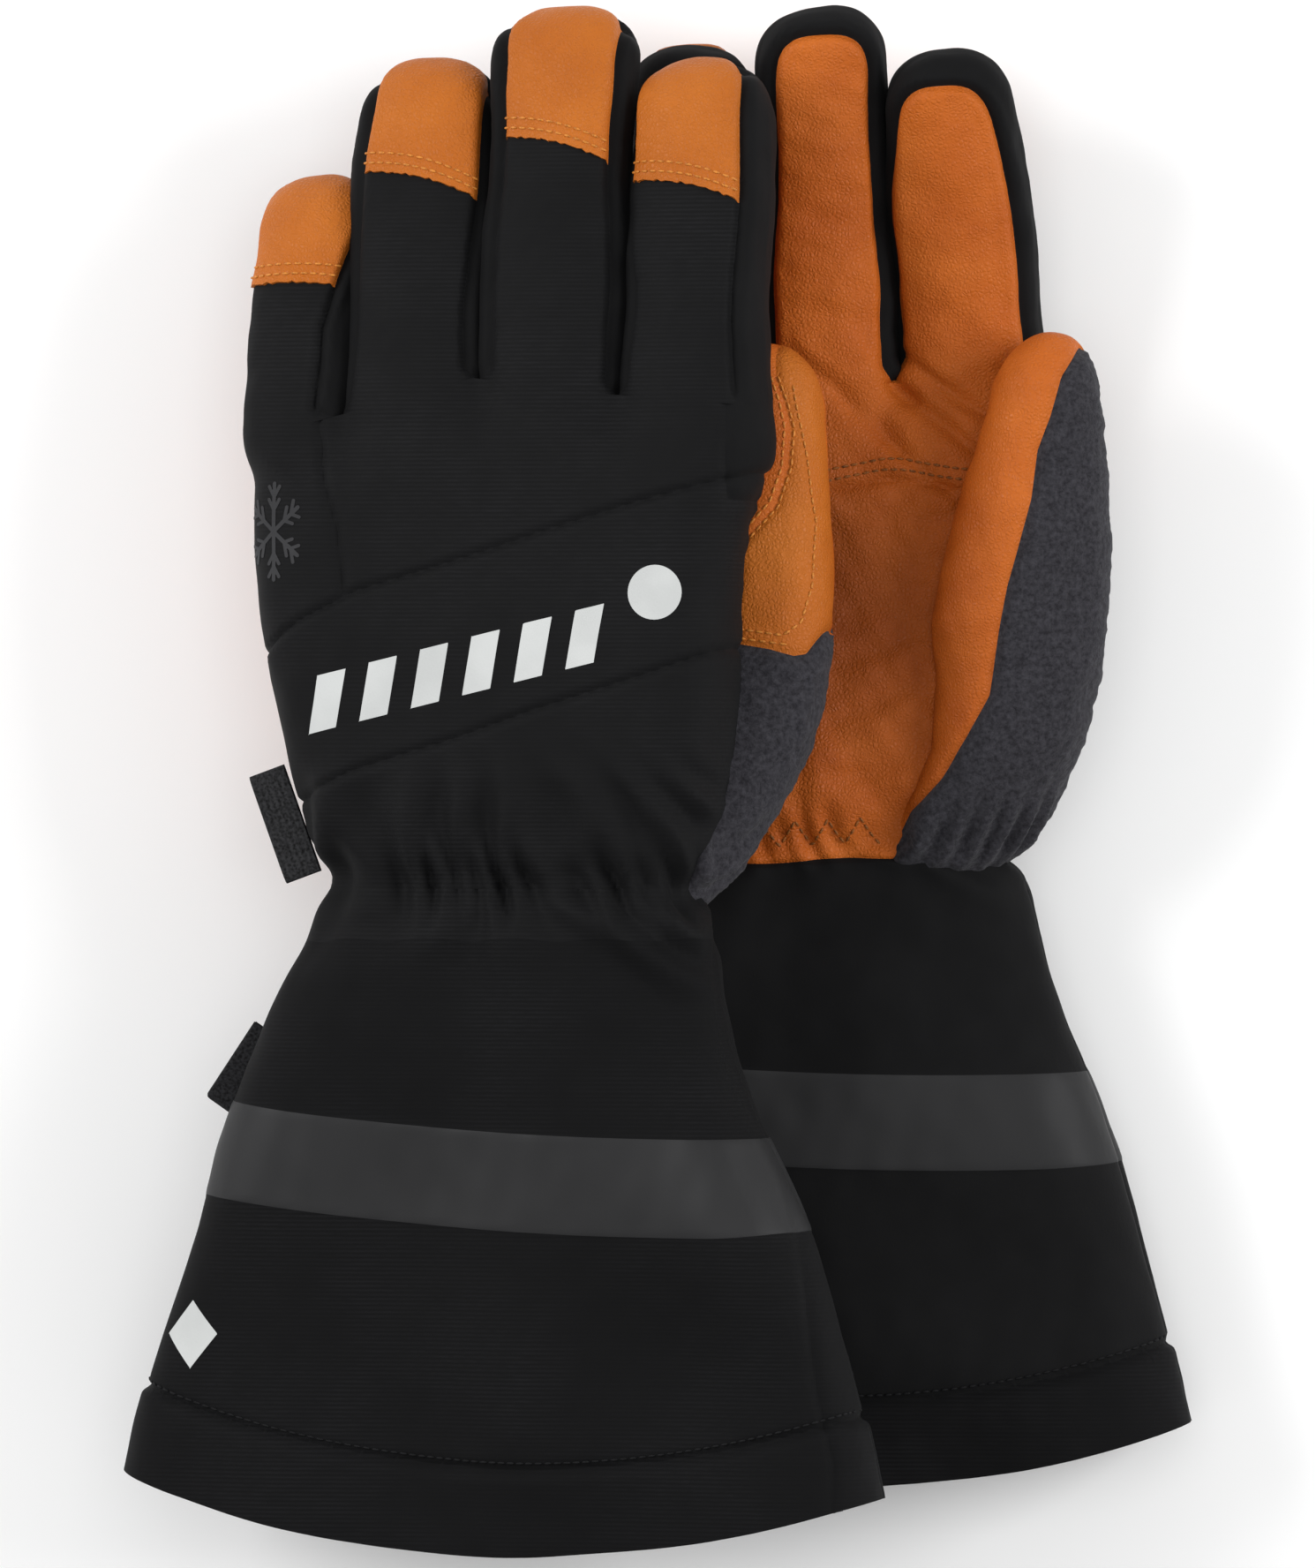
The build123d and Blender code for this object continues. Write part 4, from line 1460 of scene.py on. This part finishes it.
BODY_PANELS: dict[str, tuple[Finish, str, tuple[str, ...]]] = {
    "upper_back": (BACK_CLOTH, "black_ribbed_fabric", ("back_panel",)),
    "outer_back": (BACK_CLOTH, "black_ribbed_fabric", ()),
    "band": (BACK_CLOTH, "black_ribbed_fabric", ("knuckle_band",)),
    "lower_back": (BACK_CLOTH, "black_ribbed_fabric", ("lower_back_panel",)),
    "tail": (SIDE_CLOTH, "black_side_fabric", ()),
    "palm_upper": (PALM_LEATHER, "orange_goatskin", ()),
    "palm_lower": (PALM_LEATHER, "orange_goatskin", ("palm_leather",)),
    "cuff_back": (CUFF_CLOTH, "black_cuff_fabric", ("cuff_back",)),
    "cuff_side": (CUFF_CLOTH, "black_cuff_fabric", ()),
    "cuff_palm": (SIDE_CLOTH, "black_cuff_fabric", ("cuff_palm",)),
    "tape": (TAPE, "grey_reflective_tape", ("reflective_band",)),
    "hem": (CUFF_CLOTH, "black_cuff_fabric", ("cuff_hem",)),
}

FINGER_PANELS: dict[str, tuple[Finish, str, str]] = {
    "back": (BACK_CLOTH, "black_ribbed_fabric", "back_fabric"),
    "cap": (LEATHER, "orange_goatskin", "cap_leather"),
    "front": (PALM_LEATHER, "orange_goatskin", "front_leather"),
    "sidewall": (SIDE_CLOTH, "black_side_fabric", "sidewall"),
}


LEFT_THUMB = [
    (33.5, -12, -3, 10, 10), (43, 4, -7, 12.8, 12), (46.3, 15, -11, 16.2, 13.5), (49.2, 22, -13, 17.3, 13.5),
    (52.4, 31, -16, 18.2, 14), (55, 41.5, -18, 19, 14), (57, 56, -20, 18.8, 13.5), (58.6, 75, -21, 17.6, 13),
    (59.2, 92, -21.5, 16.4, 12.8), (59.2, 104, -22, 14.8, 12.5), (59.4, 131, -23, 13, 11.5),
]
RIGHT_THUMB = [
    (34, -12, -4, 12, 9), (37.4, 3, -9, 18.2, 10.5), (42.8, 12, -12, 18.4, 12), (50.7, 27, -16, 18.5, 13.5),
    (54.2, 43, -19, 20.3, 14), (55, 58, -21, 21.5, 14), (57.2, 70, -22, 20.6, 14), (60.7, 91, -23, 17.8, 13.5),
    (62.8, 104, -23.5, 14.6, 13), (66.3, 128, -24, 10, 11),
]
RIGHT_FLARE = [(-131, -0.7), (-96, -0.4), (-75, 1.7), (-54, 6.2), (-33, 4.4), (-12, 4.2), (2, 0)]


def left_digits() -> list[Digit]:
    """The upper glove's fingers."""
    return [
        Digit("index", 46.6, 0.0, 17.5, 12.8, 120, 198.2, 4.0, 7.0, 168.6, 8.0, (2.5, 0.6, 6.0, 5.5)),
        Digit("middle", 11.7, 0.0, 17.9, 13.0, 122, 211.6, 4.0, 7.0, 179.5, 8.0, (4.5, 4.5, 2.8, 2.8)),
        Digit("ring", -22.2, 0.0, 17.5, 12.8, 120, 199.3, 5.0, 7.0, 171.5, 8.0, (2.6, 3.6, 4.0, 1.0)),
        Digit("little", -51.2, 0.03, 14.1, 11.6, 114, 171, 6.0, 6.0, 144.2, 0.6, (-1.0, -1.0, 8.5, 0.5),
              root=4.0),
    ]


def right_digits() -> list[Digit]:
    """The lower glove's fingers."""
    return [
        Digit("index", 47.3, -0.035, 17.9, 12.8, 120, 197, 9.0, 9.0, 169.1, 6.2,
              front_insets=(0.6, 1.6, 4.2, 6.4), front_short=9.0, back_short=3.0, taper=0.17),
        Digit("middle", 12.0, 0.028, 16.8, 13.0, 122, 209, 6.0, 8.0, 179.9, 8.0,
              front_insets=(4.0, 4.4, 3.6, 4.2), back_short=3.0, taper=0.06),
        Digit("ring", -20.0, 0.025, 15.6, 12.6, 120, 202, 4.0, 5.0, 171.6, 7.0, front_short=13.0),
        Digit("little", -51.2, 0.035, 12.4, 11.6, 114, 169, 6.0, 4.0, 144.6, -1.0),
    ]


@dataclass
class Studio:
    """The floor, the lights and the camera."""

    height: float = 3.0
    aim: tuple[float, float] = (-0.0008, -0.0012)
    frame_height: float = 0.3797  # what the picture's height takes in at the gloves

    def build(self) -> None:
        """Makes everything that isn't the gloves."""
        mesh = bpy.data.meshes.new("floor")
        s = 3.0
        mesh.from_pydata([(-s, -s, 0), (s, -s, 0), (s, s, 0), (-s, s, 0)], [], [(0, 1, 2, 3)])
        floor = bpy.data.objects.new("floor", mesh)
        bpy.context.scene.collection.objects.link(floor)
        floor.location.z = -0.0012
        mesh.materials.append(Finish("studio_floor_white", "#fefefe", "#fefefe", 0.95, 0.2).material())
        self.light("left_box", (-1.5, 0.6, 1.1), 0.9, 23)
        self.light("right_box", (1.5, 0.3, 1.1), 0.9, 20)
        self.light("top_box", (0.0, 0.2, 2.4), 1.4, 10)
        world = bpy.data.worlds.new("studio")
        bpy.context.scene.world = world
        world.use_nodes = True
        world.node_tree.nodes["Background"].inputs[0].default_value = (1, 1, 1, 1)
        world.node_tree.nodes["Background"].inputs[1].default_value = 0.46
        bpy.context.scene.view_settings.view_transform = "Standard"
        data = bpy.data.cameras.new("camera")
        data.sensor_fit = "VERTICAL"
        data.angle = 2 * math.atan(self.frame_height / 2 / (self.height - 0.06))
        camera = bpy.data.objects.new("camera", data)
        bpy.context.scene.collection.objects.link(camera)
        camera.location = (self.aim[0], self.aim[1], self.height)
        bpy.context.scene.camera = camera

    def light(self, name: str, at: tuple[float, float, float], size: float, power: float) -> None:
        """Adds a soft square light that looks at the gloves."""
        data = bpy.data.lights.new(name, "AREA")
        data.size = size
        data.energy = power
        lamp = bpy.data.objects.new(name, data)
        bpy.context.scene.collection.objects.link(lamp)
        lamp.location = at
        lamp.rotation_euler = (-Vector(at)).to_track_quat("-Z", "Y").to_euler()


def disc(x: float, y: float, rx: float, ry: float, sides: int = 40) -> Array:
    """An ellipse's outline."""
    a = np.linspace(0, 2 * math.pi, sides, endpoint=False)
    return np.stack([x + rx * np.cos(a), y + ry * np.sin(a)], 1)


def frost_mark(x: float, y: float, radius: float, squeeze: float) -> list[tuple]:
    """A plain six-armed frost mark, as lines.

    Args:
        x: Its middle's X.
        y: Its middle's Y.
        radius: The length of an arm.
        squeeze: How much narrower it is drawn across, as it wraps round the glove's edge.

    Returns:
        Lines with their half width.
    """
    lines = []
    for arm in range(6):
        a = math.radians(90 + 60 * arm)

        def at(r: float, side: float) -> tuple[float, float]:
            dx, dy = r * math.cos(a) - side * math.sin(a), r * math.sin(a) + side * math.cos(a)
            return x + squeeze * dx, y + dy

        lines.append(([at(0, 0), at(radius, 0)], 0.5))
        for r in (0.45, 0.72):
            for side in (-1, 1):
                lines.append(([at(radius * r, 0), at(radius * (r + 0.22), side * radius * 0.2)], 0.42))
    return lines


def trim_left(glove: Glove) -> None:
    """Adds the prints, the label tab and the hang loop, which only the upper glove shows."""
    bars = []
    for x in np.linspace(-40.5, 23.5, 6):
        wide, tall, slope = 3.5, 6.8, 0.24
        y = 43.4 + (x + 40.5) * 0.242
        corners = [(-wide - 1.2, -tall), (wide - 1.2, -tall), (wide + 1.2, tall), (-wide + 1.2, tall)]
        bars.append(np.array([(x + a, y + b + slope * a) for a, b in corners]))
    glove.show_print("band_print", ["band"], bars + [disc(40.6, 69.5, 6.6, 6.6)], "hand", LIGHT_PRINT)
    glove.show_print("frost_print", ["outer_back"], frost_mark(-54.2, 84.5, 11.6, 0.62), "hand", DARK_PRINT)
    lozenge = np.array([(-75.2, -101.5), (-68.2, -109.6), (-75.2, -118), (-82.2, -109.6)])
    glove.show_print("hem_print", ["cuff_back"], [lozenge], "cuff", LIGHT_PRINT)
    label = glove.tape_strip("label_tab", (-55.7, 13.7, 0), 70, (27.5, 9.5), 0.55, 1.5, LABEL)
    glove.keep("label_tab", label, "hand", "label_tab", slot="black_webbing")
    loop = glove.tape_strip("hang_loop", (-65.2, -46.2, 0), 34, (10, 22), 1.15, 1.35, WEBBING)
    glove.keep("hang_loop", loop, "hang_loop", "hang_loop", slot="black_webbing")


def main() -> None:
    """Builds the gloves and the studio."""
    logging.basicConfig(level=logging.INFO, format="%(message)s")
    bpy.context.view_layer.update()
    gloves = [
        Glove(Side.LEFT, left_digits(), ThumbShape(LEFT_THUMB)),
        Glove(Side.RIGHT, right_digits(), ThumbShape(RIGHT_THUMB), cuff_yaw=-1.7, cuff_shift=7.5,
              cuff_squash=3.1, height=0.97, flare=RIGHT_FLARE, gathers=0.4),
    ]
    for glove in gloves:
        glove.make_panels()
        glove.make_lining()
        for digit in glove.digits:
            glove.make_finger(digit)
        glove.make_thumb()
        glove.sew_caps()
        glove.sew_hand()
        glove.sew_cuff()
    gloves[0].sew_thumb()
    trim_left(gloves[0])
    Studio().build()


if __name__ == "__main__":
    main()
